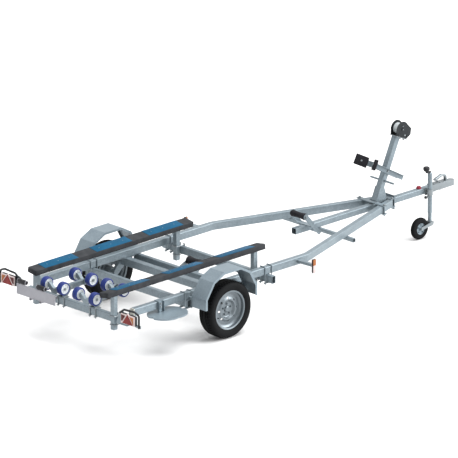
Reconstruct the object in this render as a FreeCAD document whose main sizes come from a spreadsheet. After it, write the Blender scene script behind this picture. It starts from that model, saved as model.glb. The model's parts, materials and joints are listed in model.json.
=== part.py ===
import FreeCAD, Part
"""Single-axle boat trailer with a tilting roller cradle, carpeted bunks, winch post and jockey wheel.

Frame: +X towards the coupling, +Y to the left-hand side, +Z up; the ground is z = 0 and the origin
lies under the middle of the trailer's length.  Places along the trailer are written from the axle
and moved to that origin by place().  Millimetres and degrees.
"""
import math
import os
from types import SimpleNamespace
import Sketcher
from FreeCAD import Placement, Rotation, Vector

# ---------------------------------------------------------------- sizes
# alias, value, what it is ("ahead" and "behind" are measured from the axle)
SIZES = [
    ("frame_width", 1430, "outer face to outer face of the side beams"),
    ("beam_top", 530, "height of the side beams' top faces"),
    ("beam_deep", 80, "beam section, height"),
    ("beam_wide", 60, "beam section, width"),
    ("beam_wall", 4, "beam wall"),
    ("beam_behind", 1135, "rear end of the side beams"),
    ("bend_ahead", 1318, "where the beams bend towards the drawbar"),
    ("bend_radius", 160, "centre-line radius of that bend"),
    ("arm_angle", 18.8, "how far the drawbar arms turn in"),
    ("arm_gap", 9, "between an arm's tip and the keel tube"),
    ("keel_square", 65, "keel tube section"),
    ("keel_wall", 4, "keel tube wall"),
    ("keel_ahead", 1810, "rear end of the keel tube"),
    ("keel_front", 3920, "front end of the keel tube"),
    ("cross_deep", 80, "cross member, height"),
    ("cross_wide", 50, "cross member, width"),
    ("cross_wall", 4, "cross member wall"),
    ("hanger_wall", 8, "plates that hang the rear cross member from the beam ends"),
    ("nose_ahead", 4096, "tip of the coupling"),
    ("ball_size", 50, "towing ball"),
    ("axle_square", 80, "torsion axle tube"),
    ("axle_wall", 5, "torsion axle tube wall"),
    ("flange_wall", 8, "mounting flange between axle and beam"),
    ("axle_ahead", 105, "axle tube ahead of the stub axles"),
    ("arm_thick", 26, "suspension arm"),
    ("stub_radius", 20, "stub axle"),
    ("tyre_radius", 298, "tyre, loaded radius taken as round"),
    ("tyre_width", 185, "tyre section width"),
    ("rim_radius", 205, "rim flange"),
    ("tyre_gap", 45, "side beam to the inner side wall of a tyre"),
    ("hub_play", 0.05, "running clearance of wheels and rollers on their shafts, on the radius"),
    ("guard_gap", 49, "side beam to the inner edge of a mudguard"),
    ("guard_wide", 204, "mudguard width"),
    ("guard_wall", 2.5, "mudguard sheet"),
    ("guard_lip", 24, "turned-down lips of a mudguard"),
    ("bunk_long", 2215, "bunk length"),
    ("bunk_wide", 126, "bunk width across its top"),
    ("bunk_thick", 58, "bunk thickness"),
    ("bunk_tilt", 9.2, "how far the bunks lean in"),
    ("strip_thick", 3, "sliding strips on the bunks"),
    ("bunk_behind", 1379, "rear end of the bunks"),
    ("bunk_spread", 517, "bunk centre line from the trailer's centre line"),
    ("bunk_height", 713, "middle of the bunk's top face"),
    ("post_square", 50, "bunk post section"),
    ("post_wall", 3, "bunk post wall"),
    ("roller_radius", 69, "cradle roller"),
    ("roller_wide", 58, "cradle roller width"),
    ("roller_bore", 11, "roller bore on the spindle, radius"),
    ("roller_pitch", 236, "twin rollers, centre to centre"),
    ("rocker_spread", 230, "rocker from the centre line"),
    ("rocker_reach", 198, "spindle to pivot along a rocker"),
    ("rocker_behind", 1138, "rocker pivot"),
    ("rocker_height", 536, "height of the rocker pivot"),
    ("spindle_height", 594, "height of the roller spindles"),
    ("winch_lean", 24.8, "lean of the winch post from upright"),
    ("winch_ahead", 2980, "foot of the winch post"),
    ("winch_post_long", 696, "winch post length"),
    ("winch_square", 65, "winch post section"),
    ("drum_wide", 76, "strap drum between its side plates"),
    ("jockey_ahead", 3693, "jockey stem"),
    ("jockey_gap", 11.5, "side of the keel tube to the jack's outer tube"),
    ("jockey_radius", 24, "jockey outer tube"),
    ("jockey_wall", 4, "jockey outer tube wall and running fit"),
    ("jockey_wheel", 115, "jockey wheel radius"),
    ("jockey_trail", 149, "jockey wheel behind its stem"),
    ("jockey_tyre", 50, "jockey wheel width"),
    ("keel_roller_bore", 10, "keel roller bore, radius"),
    ("lamp_gap", 55, "side beam to the inner end of a tail lamp"),
    ("lamp_height", 512, "height of the tail lamps"),
    ("lamp_behind", 1390, "face of the tail lamps"),
    ("lamp_wide", 200, "tail lamp width"),
    ("lamp_tall", 105, "tail lamp height"),
    ("lamp_deep", 46, "tail lamp depth"),
    ("plate_behind", 1490, "face of the number plate holder"),
    ("plate_wide", 560, "number plate holder width"),
    ("plate_tall", 112, "number plate holder height"),
    ("step_wide", 165, "step, across the trailer"),
    ("step_long", 225, "step, along the trailer"),
    ("hoop_radius", 11, "lamp guard hoop tube"),
]

doc = FreeCAD.newDocument("BoatTrailer")
sheet = doc.addObject("Spreadsheet::Sheet", "Sizes")
for row, (alias, value, note) in enumerate(SIZES, start=1):
    sheet.set(f"A{row}", note)
    sheet.set(f"B{row}", str(value))
    sheet.setAlias(f"B{row}", alias)
doc.recompute()
s = SimpleNamespace(**{alias: float(sheet.get(alias)) for alias, _, _ in SIZES})

# ---------------------------------------------------------------- places worked out from the sizes
middle = (s.nose_ahead - s.plate_behind) / 2            # the plate holder is the rearmost piece
beam_line = s.frame_width / 2 - s.beam_wide / 2         # side beam centre line
beam_bottom = s.beam_top - s.beam_deep
beam_middle = s.beam_top - s.beam_deep / 2
arm_slope = math.tan(math.radians(s.arm_angle))
arm_half = s.beam_wide / 2 / math.cos(math.radians(s.arm_angle))
arm_front = s.bend_ahead + (beam_line - arm_half - s.keel_square / 2 - s.arm_gap) / arm_slope
keel_bottom = beam_bottom                               # arms and keel lie on one level underneath
keel_top = keel_bottom + s.keel_square
keel_middle = keel_bottom + s.keel_square / 2
cross_top = beam_bottom
cross_middle = cross_top - s.cross_deep / 2
axle_height = cross_top - s.flange_wall - s.axle_square / 2
wheel_out = s.frame_width / 2 + s.tyre_gap + s.tyre_width / 2
guard_inner = s.frame_width / 2 + s.guard_gap
lamp_spread = s.frame_width / 2 + s.lamp_gap + s.lamp_wide / 2
jockey_offset = s.keel_square / 2 + s.jockey_gap + s.jockey_radius
guard_rear, guard_front = -s.tyre_radius - 82, s.tyre_radius + 45
bunk_front = s.bunk_long - s.bunk_behind
rear_cross, middle_cross, axle_cross = -1225, guard_rear - 5, 260
front_cross, drawbar_cross = bunk_front - 93, 2150
LEFT, RIGHT = 1, -1
SIDES = [("left", LEFT), ("right", RIGHT)]


def arm_line(ahead):
    """Distance of a drawbar arm's centre line from the trailer's centre line."""
    return beam_line - (ahead - s.bend_ahead) * arm_slope


# ---------------------------------------------------------------- helpers
nodes = {}


def cells(text):
    """A formula in plain size names, as the sheet's own expression."""
    words = text.replace("(", " ( ").replace(")", " ) ").split()
    return " ".join("Sizes." + word if hasattr(s, word) else word for word in words)


def bind(obj, **formulas):
    """Tie an object's properties to formulas of sheet sizes."""
    for name, text in formulas.items():
        obj.setExpression(name, cells(text))


def place(obj, ahead, left, up, turn=0.0, about=(0, 0, 1)):
    obj.Placement = Placement(Vector(ahead - middle, left, up), Rotation(Vector(*about), turn))


def node(obj, name):
    obj.Label = name
    nodes[name] = obj
    return obj


def new_body(name):
    return doc.addObject("PartDesign::Body", name)


def sketch_on(body, name, plane="XY_Plane", lift=0.0):
    """A sketch on one of the body's own origin planes, lifted along the plane's normal."""
    sketch = body.newObject("Sketcher::SketchObject", name)
    origin = next(f for f in body.Origin.OriginFeatures if f.Role == plane)
    sketch.AttachmentSupport = [(origin, "")]
    sketch.MapMode = "FlatFace"
    sketch.AttachmentOffset = Placement(Vector(0, 0, lift), Rotation())
    return sketch


def rectangle(sketch, width, height, left=0.0, low=0.0, centred=True):
    """A rectangle whose two sides are bound to formulas of sheet sizes."""
    first = sketch.GeometryCount
    corners = [(-1, -1), (1, -1), (1, 1), (-1, 1)]
    points = [Vector(left + 10 * i, low + 10 * j, 0) for i, j in corners]
    for a, b in zip(points, points[1:] + points[:1]):
        sketch.addGeometry(Part.LineSegment(a, b))
    for k in range(4):
        sketch.addConstraint(Sketcher.Constraint("Coincident", first + k, 2, first + (k + 1) % 4, 1))
    for k, way in enumerate(["Horizontal", "Vertical", "Horizontal", "Vertical"]):
        sketch.addConstraint(Sketcher.Constraint(way, first + k))
    wide = sketch.addConstraint(Sketcher.Constraint("DistanceX", first, 1, first, 2, 20))
    tall = sketch.addConstraint(Sketcher.Constraint("DistanceY", first + 1, 1, first + 1, 2, 20))
    sketch.setExpression(f"Constraints[{wide}]", cells(width))
    sketch.setExpression(f"Constraints[{tall}]", cells(height))
    if centred:
        centre = sketch.addGeometry(Part.Point(Vector(left, low, 0)), True)
        sketch.addConstraint(Sketcher.Constraint("DistanceX", -1, 1, centre, 1, left) if left else
                             Sketcher.Constraint("PointOnObject", centre, 1, -2))
        sketch.addConstraint(Sketcher.Constraint("DistanceY", -1, 1, centre, 1, low) if low else
                             Sketcher.Constraint("PointOnObject", centre, 1, -1))
        sketch.addConstraint(Sketcher.Constraint("Symmetric", first, 1, first + 1, 2, centre, 1))
    return first


def rounded_rectangle(sketch, width, height, corner):
    """A rectangle round the sketch's origin with rounded corners; all three sizes are bound."""
    seed, cut = 10, 2
    lines, arcs = [], []
    for k in range(4):
        way = Vector(*[(1, 0, 0), (0, 1, 0), (-1, 0, 0), (0, -1, 0)][k])
        left = Vector(-way.y, way.x, 0)
        low = left * -seed
        lines.append(sketch.addGeometry(Part.LineSegment(low - way * (seed - cut), low + way * (seed - cut))))
        centre = low + way * (seed - cut) + left * cut
        first = math.pi / 2 * (k - 1)
        arc = Part.ArcOfCircle(Part.Circle(centre, Vector(0, 0, 1), cut), first, first + math.pi / 2)
        arcs.append(sketch.addGeometry(arc))
    for k in range(4):
        sketch.addConstraint(Sketcher.Constraint("Tangent", lines[k], 2, arcs[k], 1))
        sketch.addConstraint(Sketcher.Constraint("Tangent", arcs[k], 2, lines[(k + 1) % 4], 1))
        sketch.addConstraint(Sketcher.Constraint(["Horizontal", "Vertical"][k % 2], lines[k]))
    for k in range(1, 4):
        sketch.addConstraint(Sketcher.Constraint("Equal", arcs[0], arcs[k]))
    sketch.addConstraint(Sketcher.Constraint("Symmetric", arcs[0], 3, arcs[2], 3, -1, 1))
    wide = sketch.addConstraint(Sketcher.Constraint("DistanceX", lines[3], 1, lines[1], 1, 2 * seed))
    tall = sketch.addConstraint(Sketcher.Constraint("DistanceY", lines[0], 1, lines[2], 1, 2 * seed))
    bend = sketch.addConstraint(Sketcher.Constraint("Radius", arcs[0], cut))
    for row, text in [(wide, width), (tall, height), (bend, corner)]:
        sketch.setExpression(f"Constraints[{row}]", cells(text))


def circle(sketch, radius, x=0.0, y=0.0):
    """A circle whose radius is bound to a formula of sheet sizes."""
    ring = sketch.addGeometry(Part.Circle(Vector(x, y, 0), Vector(0, 0, 1), 10))
    size = sketch.addConstraint(Sketcher.Constraint("Radius", ring, 10))
    sketch.setExpression(f"Constraints[{size}]", cells(radius))
    return ring


def outline(sketch, points):
    """A closed outline of straight runs; a point (x, y, True) is the middle of an arc."""
    ends = [Vector(p[0], p[1], 0) for p in points if len(p) == 2]
    ends.append(ends[0])
    mids = {}
    count = 0
    for p in points:
        if len(p) == 3:
            mids[count - 1] = Vector(p[0], p[1], 0)
        else:
            count += 1
    for k, (a, b) in enumerate(zip(ends, ends[1:])):
        sketch.addGeometry(Part.Arc(a, mids[k], b) if k in mids else Part.LineSegment(a, b))


def pad(body, sketch, length, both_ways=False, backwards=False):
    feature = body.newObject("PartDesign::Pad", "Pad")
    feature.Profile = sketch
    feature.Reversed = backwards
    if both_ways:
        feature.Midplane = True
    feature.setExpression("Length", cells(length))
    return feature


def pocket_through(body, sketch):
    feature = body.newObject("PartDesign::Pocket", "Pocket")
    feature.Profile = sketch
    feature.Type = "ThroughAll"
    feature.Midplane = True
    return feature


def revolve(body, sketch, axis="H_Axis"):
    feature = body.newObject("PartDesign::Revolution", "Revolution")
    feature.Profile = sketch
    feature.ReferenceAxis = (sketch, [axis])
    feature.Angle = 360
    return feature


def tube_section(sketch, width, height, wall):
    """Section of a cold-formed tube: corners of twice the wall outside and one wall inside."""
    rounded_rectangle(sketch, width, height, f"2 * {wall}")
    rounded_rectangle(sketch, f"{width} - 2 * {wall}", f"{height} - 2 * {wall}", wall)


def tube(name, width, height, wall, length, plane="YZ_Plane"):
    """A straight rectangular tube, centred on its own origin."""
    body = new_body(name)
    section = sketch_on(body, name + "_section", plane)
    tube_section(section, width, height, wall)
    pad(body, section, length, both_ways=True)
    return body


def plate(name, points, thick, plane="XZ_Plane", holes=()):
    """A flat plate from its outline, centred on the plane, with round holes (x, y, radius)."""
    body = new_body(name)
    shape = sketch_on(body, name + "_outline", plane)
    outline(shape, points)
    pad(body, shape, thick, both_ways=True)
    if holes:
        drilled = sketch_on(body, name + "_holes", plane)
        for x, y, radius in holes:
            drilled.addGeometry(Part.Circle(Vector(x, y, 0), Vector(0, 0, 1), radius))
        pocket_through(body, drilled)
    return body


def turned(name, points, plane="YZ_Plane"):
    """A turned piece: its half outline spun about its plane's first axis."""
    body = new_body(name)
    section = sketch_on(body, name + "_section", plane)
    outline(section, points)
    revolve(body, section)
    return body


def rounded_route(points, bend):
    """Straight runs through points joined by tangent arcs of one bend radius."""
    edges = []
    start = Vector(*points[0])
    for before, corner, after in zip(points, points[1:], points[2:]):
        before, corner, after = Vector(*before), Vector(*corner), Vector(*after)
        back, on = (before - corner).normalize(), (after - corner).normalize()
        half = back.getAngle(on) / 2
        reach = bend / math.tan(half)
        middle_way = (back + on).normalize()
        a, b = corner + back * reach, corner + on * reach
        m = corner + middle_way * (bend / math.sin(half) - bend)
        edges += [Part.LineSegment(start, a), Part.Arc(a, m, b)]
        start = b
    edges.append(Part.LineSegment(start, Vector(*points[-1])))
    return edges


def piped(name, points, bend, draw_section, plane="XY_Plane"):
    """A tube bent along a flat route; draw_section(sketch) draws its section."""
    body = new_body(name)
    route = sketch_on(body, name + "_route", plane)
    route.addGeometry(rounded_route([(x, y, 0) for x, y in points], bend))
    section = body.newObject("Sketcher::SketchObject", name + "_section")
    section.AttachmentSupport = [(route, "Edge1")]
    section.MapMode = "NormalToEdge"
    section.MapPathParameter = 0.0
    draw_section(section)
    pipe = body.newObject("PartDesign::AdditivePipe", "Pipe")
    pipe.Profile = section
    pipe.Spine = route
    return body


def merged(name, pieces):
    """Several like pieces that don't touch, kept together as one node."""
    group = doc.addObject("Part::Compound", name)
    group.Links = pieces
    return node(group, name)


def fused(name, pieces, refine=True):
    """Several touching pieces welded into one solid."""
    weld = doc.addObject("Part::MultiFuse", name)
    weld.Shapes = pieces
    weld.Refine = refine
    return weld


def box(name, long, wide, tall, ahead, left, low):
    """A plain block from its near, right and bottom faces."""
    block = doc.addObject("Part::Box", name)
    bind(block, Length=str(long), Width=str(wide), Height=str(tall))
    place(block, ahead, left, low)
    return block


def across(name, radius, long, ahead, left, up):
    """A round bar across the trailer, from its right end."""
    bar = doc.addObject("Part::Cylinder", name)
    bind(bar, Radius=str(radius), Height=str(long))
    place(bar, ahead, left + long, up, 90, (1, 0, 0))
    return bar


# ---------------------------------------------------------------- frame
def side_beam(name, side):
    """A side beam and its drawbar arm: one tube with a single bend."""
    def section(sketch):
        tube_section(sketch, "beam_wide", "beam_deep", "beam_wall")
    route = [(-s.beam_behind, side * beam_line), (s.bend_ahead, side * beam_line),
             (arm_front, side * arm_line(arm_front))]
    body = piped(name, route, s.bend_radius, section)
    place(body, 0, 0, beam_middle)
    node(body, name)


for word, side in SIDES:
    side_beam(f"main_beam_{word}", side)

keel = tube("keel_tube", "keel_square", "keel_square", "keel_wall", "keel_front - keel_ahead")
place(keel, (s.keel_front + s.keel_ahead) / 2, 0, keel_middle)
node(keel, "keel_tube")

# name, ahead of the axle, height of its middle, width, height, length
CROSS_MEMBERS = [
    ("middle_cross", middle_cross, cross_middle, "cross_wide", "cross_deep", "frame_width + 40"),
    ("axle_cross", axle_cross, cross_middle, "cross_wide", "cross_deep", "frame_width"),
    ("front_cross", front_cross, cross_middle, "cross_wide", "cross_deep", "frame_width + 165"),
    ("drawbar_cross", drawbar_cross, beam_bottom - 20, "40", "40", f"{2 * (arm_line(drawbar_cross) + arm_half) + 190}"),
]
members = []
for name, ahead, up, wide, deep, length in CROSS_MEMBERS:
    member = tube(name, wide, deep, "cross_wall", length, "XZ_Plane")
    place(member, ahead, 0, up)
    members.append(member)
merged("cross_members", members)


def rear_cross_member():
    """Rear cross member welded between two cranked plates on the beams' inner faces."""
    member = tube("rear_cross", "cross_wide", "cross_deep", "cross_wall", "frame_width", "XZ_Plane")
    place(member, rear_cross, 0, cross_middle)
    face = rear_cross + s.cross_wide / 2
    beam_end = -s.beam_behind
    shape = [(beam_end + 190, s.beam_top - 12), (beam_end + 190, beam_bottom + 14), (beam_end + 50, beam_bottom),
             (beam_end - 20, cross_top - 62), (face, cross_top - 70), (face, cross_top - 4),
             (beam_end - 25, cross_top), (beam_end, s.beam_top - 12)]
    pieces = [member]
    for word, side in SIDES:
        hanger = plate(f"hanger_{word}", shape, "hanger_wall")
        place(hanger, 0, side * (s.frame_width / 2 - s.beam_wide - s.hanger_wall / 2), 0)
        pieces.append(hanger)
    node(fused("rear_cross_member", pieces), "rear_cross_member")


rear_cross_member()


def teardrop(x1, z1, r1, x2, z2, r2):
    """Outline of two rounds of different size and the straight lines that touch both."""
    way = math.atan2(z2 - z1, x2 - x1)
    open_angle = math.acos((r1 - r2) / math.hypot(x2 - x1, z2 - z1))

    def rim(x, z, r, angle):
        return x + r * math.cos(angle), z + r * math.sin(angle)
    return [rim(x1, z1, r1, way + open_angle), rim(x2, z2, r2, way + open_angle), rim(x2, z2, r2, way) + (True,),
            rim(x2, z2, r2, way - open_angle), rim(x1, z1, r1, way - open_angle), rim(x1, z1, r1, way + math.pi) + (True,)]


# ---------------------------------------------------------------- axle and wheels
axle = tube("axle_square_tube", "axle_square", "axle_square", "axle_wall", "frame_width + 10", "XZ_Plane")
place(axle, s.axle_ahead, 0, axle_height)
axle_pieces = [axle]
for word, side in SIDES:
    axle_pieces.append(box(f"axle_flange_{word}", "axle_square + 90", "beam_wide", "flange_wall",
                           s.axle_ahead - s.axle_square / 2 - 45, side * beam_line - s.beam_wide / 2,
                           cross_top - s.flange_wall))
node(fused("axle_tube", axle_pieces), "axle_tube")


def suspension_arm(word, side):
    """A trailing arm with its stub axle, from the end of the axle tube back to the wheel centre."""
    body = new_body(f"suspension_arm_{word}")
    arm = sketch_on(body, f"arm_{word}", "XZ_Plane")
    outline(arm, teardrop(s.axle_ahead, axle_height, 46, 0, s.tyre_radius, 34))
    pad(body, arm, "arm_thick", backwards=side > 0)
    stub = sketch_on(body, f"stub_{word}", "XZ_Plane")
    circle(stub, "stub_radius", 0, s.tyre_radius)
    pad(body, stub, "tyre_gap + tyre_width / 2 - 5 + 24", backwards=side > 0)
    place(body, 0, side * (s.frame_width / 2 + 5), 0)
    return body


def mirrored(points, side):
    return [(side * p[0],) + tuple(p[1:]) for p in points]


def tyre(word, side):
    """Tyre: tread, rounded shoulders, full side walls and beads that sit on the rim."""
    r, w = s.tyre_radius, s.tyre_width / 2
    bead = s.rim_radius - 12 + 0.3
    outer = [(-50, bead), (-69.5, bead), (-70, s.rim_radius + 1), (-w, bead + 50, True), (-w + 16, r - 14),
             (-w + 24, r - 6, True), (-w + 36, r - 2), (0, r, True), (w - 36, r - 2), (w - 24, r - 6, True),
             (w - 16, r - 14), (w, bead + 50, True), (70, s.rim_radius + 1), (69.5, bead), (50, bead)]
    inner = [(56, s.rim_radius + 2), (w - 13, bead + 50, True), (w - 30, r - 24), (-w + 30, r - 24),
             (-w + 13, bead + 50, True), (-56, s.rim_radius + 2)]
    body = turned(f"tyre_{word}", outer + inner)
    place(body, 0, side * wheel_out, s.tyre_radius)
    node(body, f"tyre_{word}")


def ring_of(count, radius, first=90.0):
    """Points evenly spaced round a circle, from a first angle."""
    steps = [math.radians(first + 360 / count * k) for k in range(count)]
    return [(radius * math.cos(angle), radius * math.sin(angle)) for angle in steps]


STUD_RING, STUD_COUNT, disc_back, disc_face = 56, 5, 20, 24


def rim(word, side):
    """Pressed steel wheel: barrel with flanges and well, and a disc with a raised ring and a dished centre."""
    r = s.rim_radius
    section = [(-77, r), (-73, r), (-70, r - 12), (-48, r - 13), (-38, r - 30), (28, r - 30), (38, r - 13), (70, r - 12),
               (73, r), (77, r), (77, r - 4), (73.5, r - 16), (41, r - 17), (32, r - 34), (30, r - 44), (34, r - 75),
               (46, r - 95), (46, r - 108), (27, r - 123), (disc_face, r - 129), (disc_face, 33), (disc_back, 33),
               (disc_back, r - 127), (23, r - 120), (42, r - 106), (42, r - 97), (30, r - 78), (26, r - 44),
               (20, r - 34), (-40, r - 34), (-50, r - 17), (-73.5, r - 16), (-77, r - 4)]
    body = turned(f"rim_{word}", mirrored(section, side))
    holes = sketch_on(body, f"rim_holes_{word}", "XZ_Plane", lift=-side * 10)
    for x, z in ring_of(8, r - 84):
        holes.addGeometry(Part.Circle(Vector(x, z, 0), Vector(0, 0, 1), 12))
    for x, z in ring_of(STUD_COUNT, STUD_RING):
        holes.addGeometry(Part.Circle(Vector(x, z, 0), Vector(0, 0, 1), 7))
    pocket_through(body, holes)
    place(body, 0, side * wheel_out, s.tyre_radius)
    node(body, f"rim_{word}")


def hub(word, side):
    """Hub with its wheel flange, studs, nuts and grease cap, running on the stub axle."""
    bore = s.stub_radius + s.hub_play
    section = [(-60, bore), (-60, 38), (8, 38), (8, 70), (disc_back, 70), (disc_back, 31), (34, 31), (40, 22), (40, 0),
               (30, 0), (30, bore)]
    body = turned(f"hub_{word}", mirrored(section, side))
    studs = sketch_on(body, f"studs_{word}", "XZ_Plane", lift=-side * (disc_back - 2))
    for x, z in ring_of(STUD_COUNT, STUD_RING):
        circle(studs, "6", x, z)
    pad(body, studs, "24", backwards=side > 0)
    nuts = sketch_on(body, f"wheel_nuts_{word}", "XZ_Plane", lift=-side * disc_face)
    for x, z in ring_of(STUD_COUNT, STUD_RING):
        outline(nuts, [(x + dx, z + dz) for dx, dz in ring_of(6, 10.5, 0)])
    pad(body, nuts, "13", backwards=side > 0)
    place(body, 0, side * wheel_out, s.tyre_radius)
    node(body, f"hub_{word}")


# the mudguard's bends, as seen from the side: ahead of the axle, height
guard_low, guard_side = s.tyre_radius + 87, s.tyre_radius + 202
guard_bevel, guard_top = 2 * s.tyre_radius + 69, 2 * s.tyre_radius + 141
GUARD_BENDS = [(guard_rear, guard_low), (guard_rear, guard_side), (guard_rear + 110, guard_bevel), (-120, guard_top),
               (120, guard_top), (guard_front - 93, guard_bevel), (guard_front, guard_side), (guard_front, guard_low)]


def offset(points, distance):
    """The same open line of straight runs, moved sideways by a distance (to the right of its run)."""
    moved = []
    for k, point in enumerate(points):
        here = Vector(*point, 0)
        runs = [Vector(*b, 0) - Vector(*a, 0) for a, b in zip(points, points[1:])]
        before, after = runs[max(k - 1, 0)].normalize(), runs[min(k, len(runs) - 1)].normalize()
        normal = Vector(before.y + after.y, -before.x - after.x, 0).normalize()
        reach = distance / (normal.x * before.y - normal.y * before.x)
        moved.append((here.x + normal.x * reach, here.y + normal.y * reach))
    return moved


def mudguard(word, side):
    """A folded sheet arch over the wheel with turned-down lips on both edges."""
    body = new_body(f"mudguard_{word}")
    sheet_line = sketch_on(body, f"guard_sheet_{word}", "XZ_Plane")
    outline(sheet_line, GUARD_BENDS + offset(GUARD_BENDS, s.guard_wall)[::-1])
    pad(body, sheet_line, "guard_wide", backwards=side > 0)
    for edge, out in [("inner", 0), ("outer", s.guard_wide - s.guard_wall)]:
        lip = sketch_on(body, f"guard_lip_{edge}_{word}", "XZ_Plane", lift=-side * out)
        outline(lip, GUARD_BENDS + offset(GUARD_BENDS, s.guard_lip)[::-1])
        pad(body, lip, "guard_wall", backwards=side > 0)
    place(body, 0, side * guard_inner, 0)
    node(body, f"mudguard_{word}")


def mudguard_bracket(word, side):
    """Square tubes from the side beam to the front and rear legs of the mudguard."""
    made = []
    rear, front = GUARD_BENDS[0][0] + s.guard_wall + 15, GUARD_BENDS[-1][0] - s.guard_wall - 15
    for k, ahead in enumerate([rear, front]):
        arm = tube(f"guard_arm_{word}_{k}", "30", "30", "3", "guard_gap", "XZ_Plane")
        long = s.guard_gap
        place(arm, ahead, side * (s.frame_width / 2 + long / 2), beam_bottom + 17)
        made.append(arm)
    return made


guard_arms = []
merged("suspension_arms", [suspension_arm(word, side) for word, side in SIDES])
for word, side in SIDES:
    tyre(word, side)
    rim(word, side)
    hub(word, side)
    mudguard(word, side)
    guard_arms += mudguard_bracket(word, side)
merged("mudguard_brackets", guard_arms)


# ---------------------------------------------------------------- bunks
bunk_middle = s.bunk_long / 2 - s.bunk_behind
post_rear = rear_cross - s.cross_wide / 2 - s.post_square / 2
post_front = front_cross - s.cross_wide / 2 - s.post_square / 2
post_out = s.bunk_spread + 45


def underside(out):
    """Height of the bunk's lower face at a distance from the trailer's centre line."""
    tilt = math.radians(s.bunk_tilt)
    return s.bunk_height - s.bunk_thick / math.cos(tilt) + (out - s.bunk_spread) * math.tan(tilt)


# sliding strips: rear and front end, as shares of the bunk's length from its rear end
STRIPS = [(0.058, 0.269), (0.385, 0.609), (0.717, 0.935)]

posts, strips = [], []
for word, side in SIDES:
    bunk = new_body(f"bunk_{word}")
    section = sketch_on(bunk, f"bunk_section_{word}", "YZ_Plane")
    rectangle(section, "bunk_wide", "bunk_thick")
    pad(bunk, section, "bunk_long", both_ways=True)
    tilt = math.radians(s.bunk_tilt)
    place(bunk, bunk_middle, side * (s.bunk_spread + s.bunk_thick / 2 * math.sin(tilt)),
          s.bunk_height - s.bunk_thick / 2 * math.cos(tilt), side * s.bunk_tilt, (1, 0, 0))
    node(bunk, f"bunk_{word}")
    for k, (rear, front) in enumerate(STRIPS):
        strip = doc.addObject("Part::Box", f"bunk_strip_{word}_{k}")
        bind(strip, Length=f"{front - rear} * bunk_long", Width="bunk_wide - 8", Height="strip_thick")
        on_top = Vector((rear - 0.5) * s.bunk_long, 4 - s.bunk_wide / 2, s.bunk_thick / 2)
        strip.Placement = bunk.Placement.multiply(Placement(on_top, Rotation()))
        strips.append(strip)

    for end, ahead, foot in [("rear", post_rear, cross_top - 140), ("front", post_front, cross_top - 145)]:
        post = new_body(f"bunk_post_{end}_{word}")
        wall = s.post_square / 2
        face = sketch_on(post, f"post_face_{end}_{word}", "YZ_Plane")
        outline(face, [(side * (post_out - wall), foot), (side * (post_out + wall), foot),
                       (side * (post_out + wall), underside(post_out + wall)),
                       (side * (post_out - wall), underside(post_out - wall))])
        pad(post, face, "post_square", both_ways=True)
        core = sketch_on(post, f"post_core_{end}_{word}", "XY_Plane")
        rectangle(core, "post_square - 2 * post_wall", "post_square - 2 * post_wall", 0, side * post_out)
        pocket_through(post, core)
        place(post, ahead, 0, 0)
        posts.append(post)
merged("bunk_posts", posts)
merged("bunk_strips", strips)

# ---------------------------------------------------------------- tilting roller cradle
pin_radius, arm_wide, cheek, carrier_deep = 12, 40, 6, 36


def rocker(word, side):
    """A rocking beam on its pivot; a V-shaped carrier across each end holds a roller on either side."""
    rise, reach = s.spindle_height - s.rocker_height, s.rocker_reach
    half = s.roller_pitch / 2 - s.roller_wide / 2 - 1
    body = new_body(f"rocker_{word}")
    beam = sketch_on(body, f"rocker_beam_{word}", "XZ_Plane")
    outline(beam, [(-reach, rise - 26), (reach, rise - 26), (reach, rise - 72), (40, rise - 86), (-40, rise - 86),
                   (-reach, rise - 72)])
    pad(body, beam, str(arm_wide), both_ways=True)
    for k, ahead in enumerate([-reach, reach]):
        carrier = sketch_on(body, f"carrier_{word}_{k}", "YZ_Plane", lift=ahead)
        right = [(14, rise - 24), (half * 0.76, rise + 24), (half, rise + 24), (half, rise - 24),
                 (half * 0.88, rise - 26), (26, rise - 78)]
        outline(carrier, right + [(-across, up) for across, up in reversed(right)])
        pad(body, carrier, str(carrier_deep), both_ways=True)
        for way in (-1, 1):
            spindle = sketch_on(body, f"spindle_{word}_{k}_{way + 1}", "XZ_Plane", lift=way * (s.roller_pitch / 2 - 0.5))
            circle(spindle, "roller_bore", ahead, rise)
            pad(body, spindle, "roller_wide + 12", both_ways=True)
    bore = sketch_on(body, f"rocker_bore_{word}", "XZ_Plane")
    circle(bore, f"{pin_radius} + hub_play")
    pocket_through(body, bore)
    place(body, -s.rocker_behind, side * s.rocker_spread, s.rocker_height)
    node(body, f"rocker_{word}")


def rocker_bracket(word, side):
    """Two cheeks on a foot plate over the rear cross member, and the pivot pin between them."""
    low = cross_top
    foot = [(rear_cross - 40, low), (rear_cross + 40, low), (rear_cross + 40, low + 6), (rear_cross - 40, low + 6)]
    body = new_body(f"rocker_bracket_{word}")
    base = sketch_on(body, f"bracket_foot_{word}", "XZ_Plane")
    outline(base, foot)
    pad(body, base, f"{arm_wide + 2 + 2 * cheek}", both_ways=True)
    for way in (-1, 1):
        ear = sketch_on(body, f"bracket_ear_{word}_{way + 1}", "XZ_Plane", lift=way * (arm_wide / 2 + 1 + cheek / 2))
        outline(ear, [(rear_cross - 40, low), (rear_cross + 40, low), (rear_cross + 40, low + 10),
                      (-s.rocker_behind + 25, s.rocker_height), (-s.rocker_behind, s.rocker_height + 25, True),
                      (-s.rocker_behind - 25, s.rocker_height), (rear_cross - 40, low + 10)])
        pad(body, ear, str(cheek), both_ways=True)
    pin = sketch_on(body, f"rocker_pin_{word}", "XZ_Plane")
    circle(pin, str(pin_radius), -s.rocker_behind, s.rocker_height)
    pad(body, pin, f"{arm_wide + 2 + 2 * cheek + 16}", both_ways=True)
    place(body, 0, side * s.rocker_spread, 0)
    return body


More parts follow.
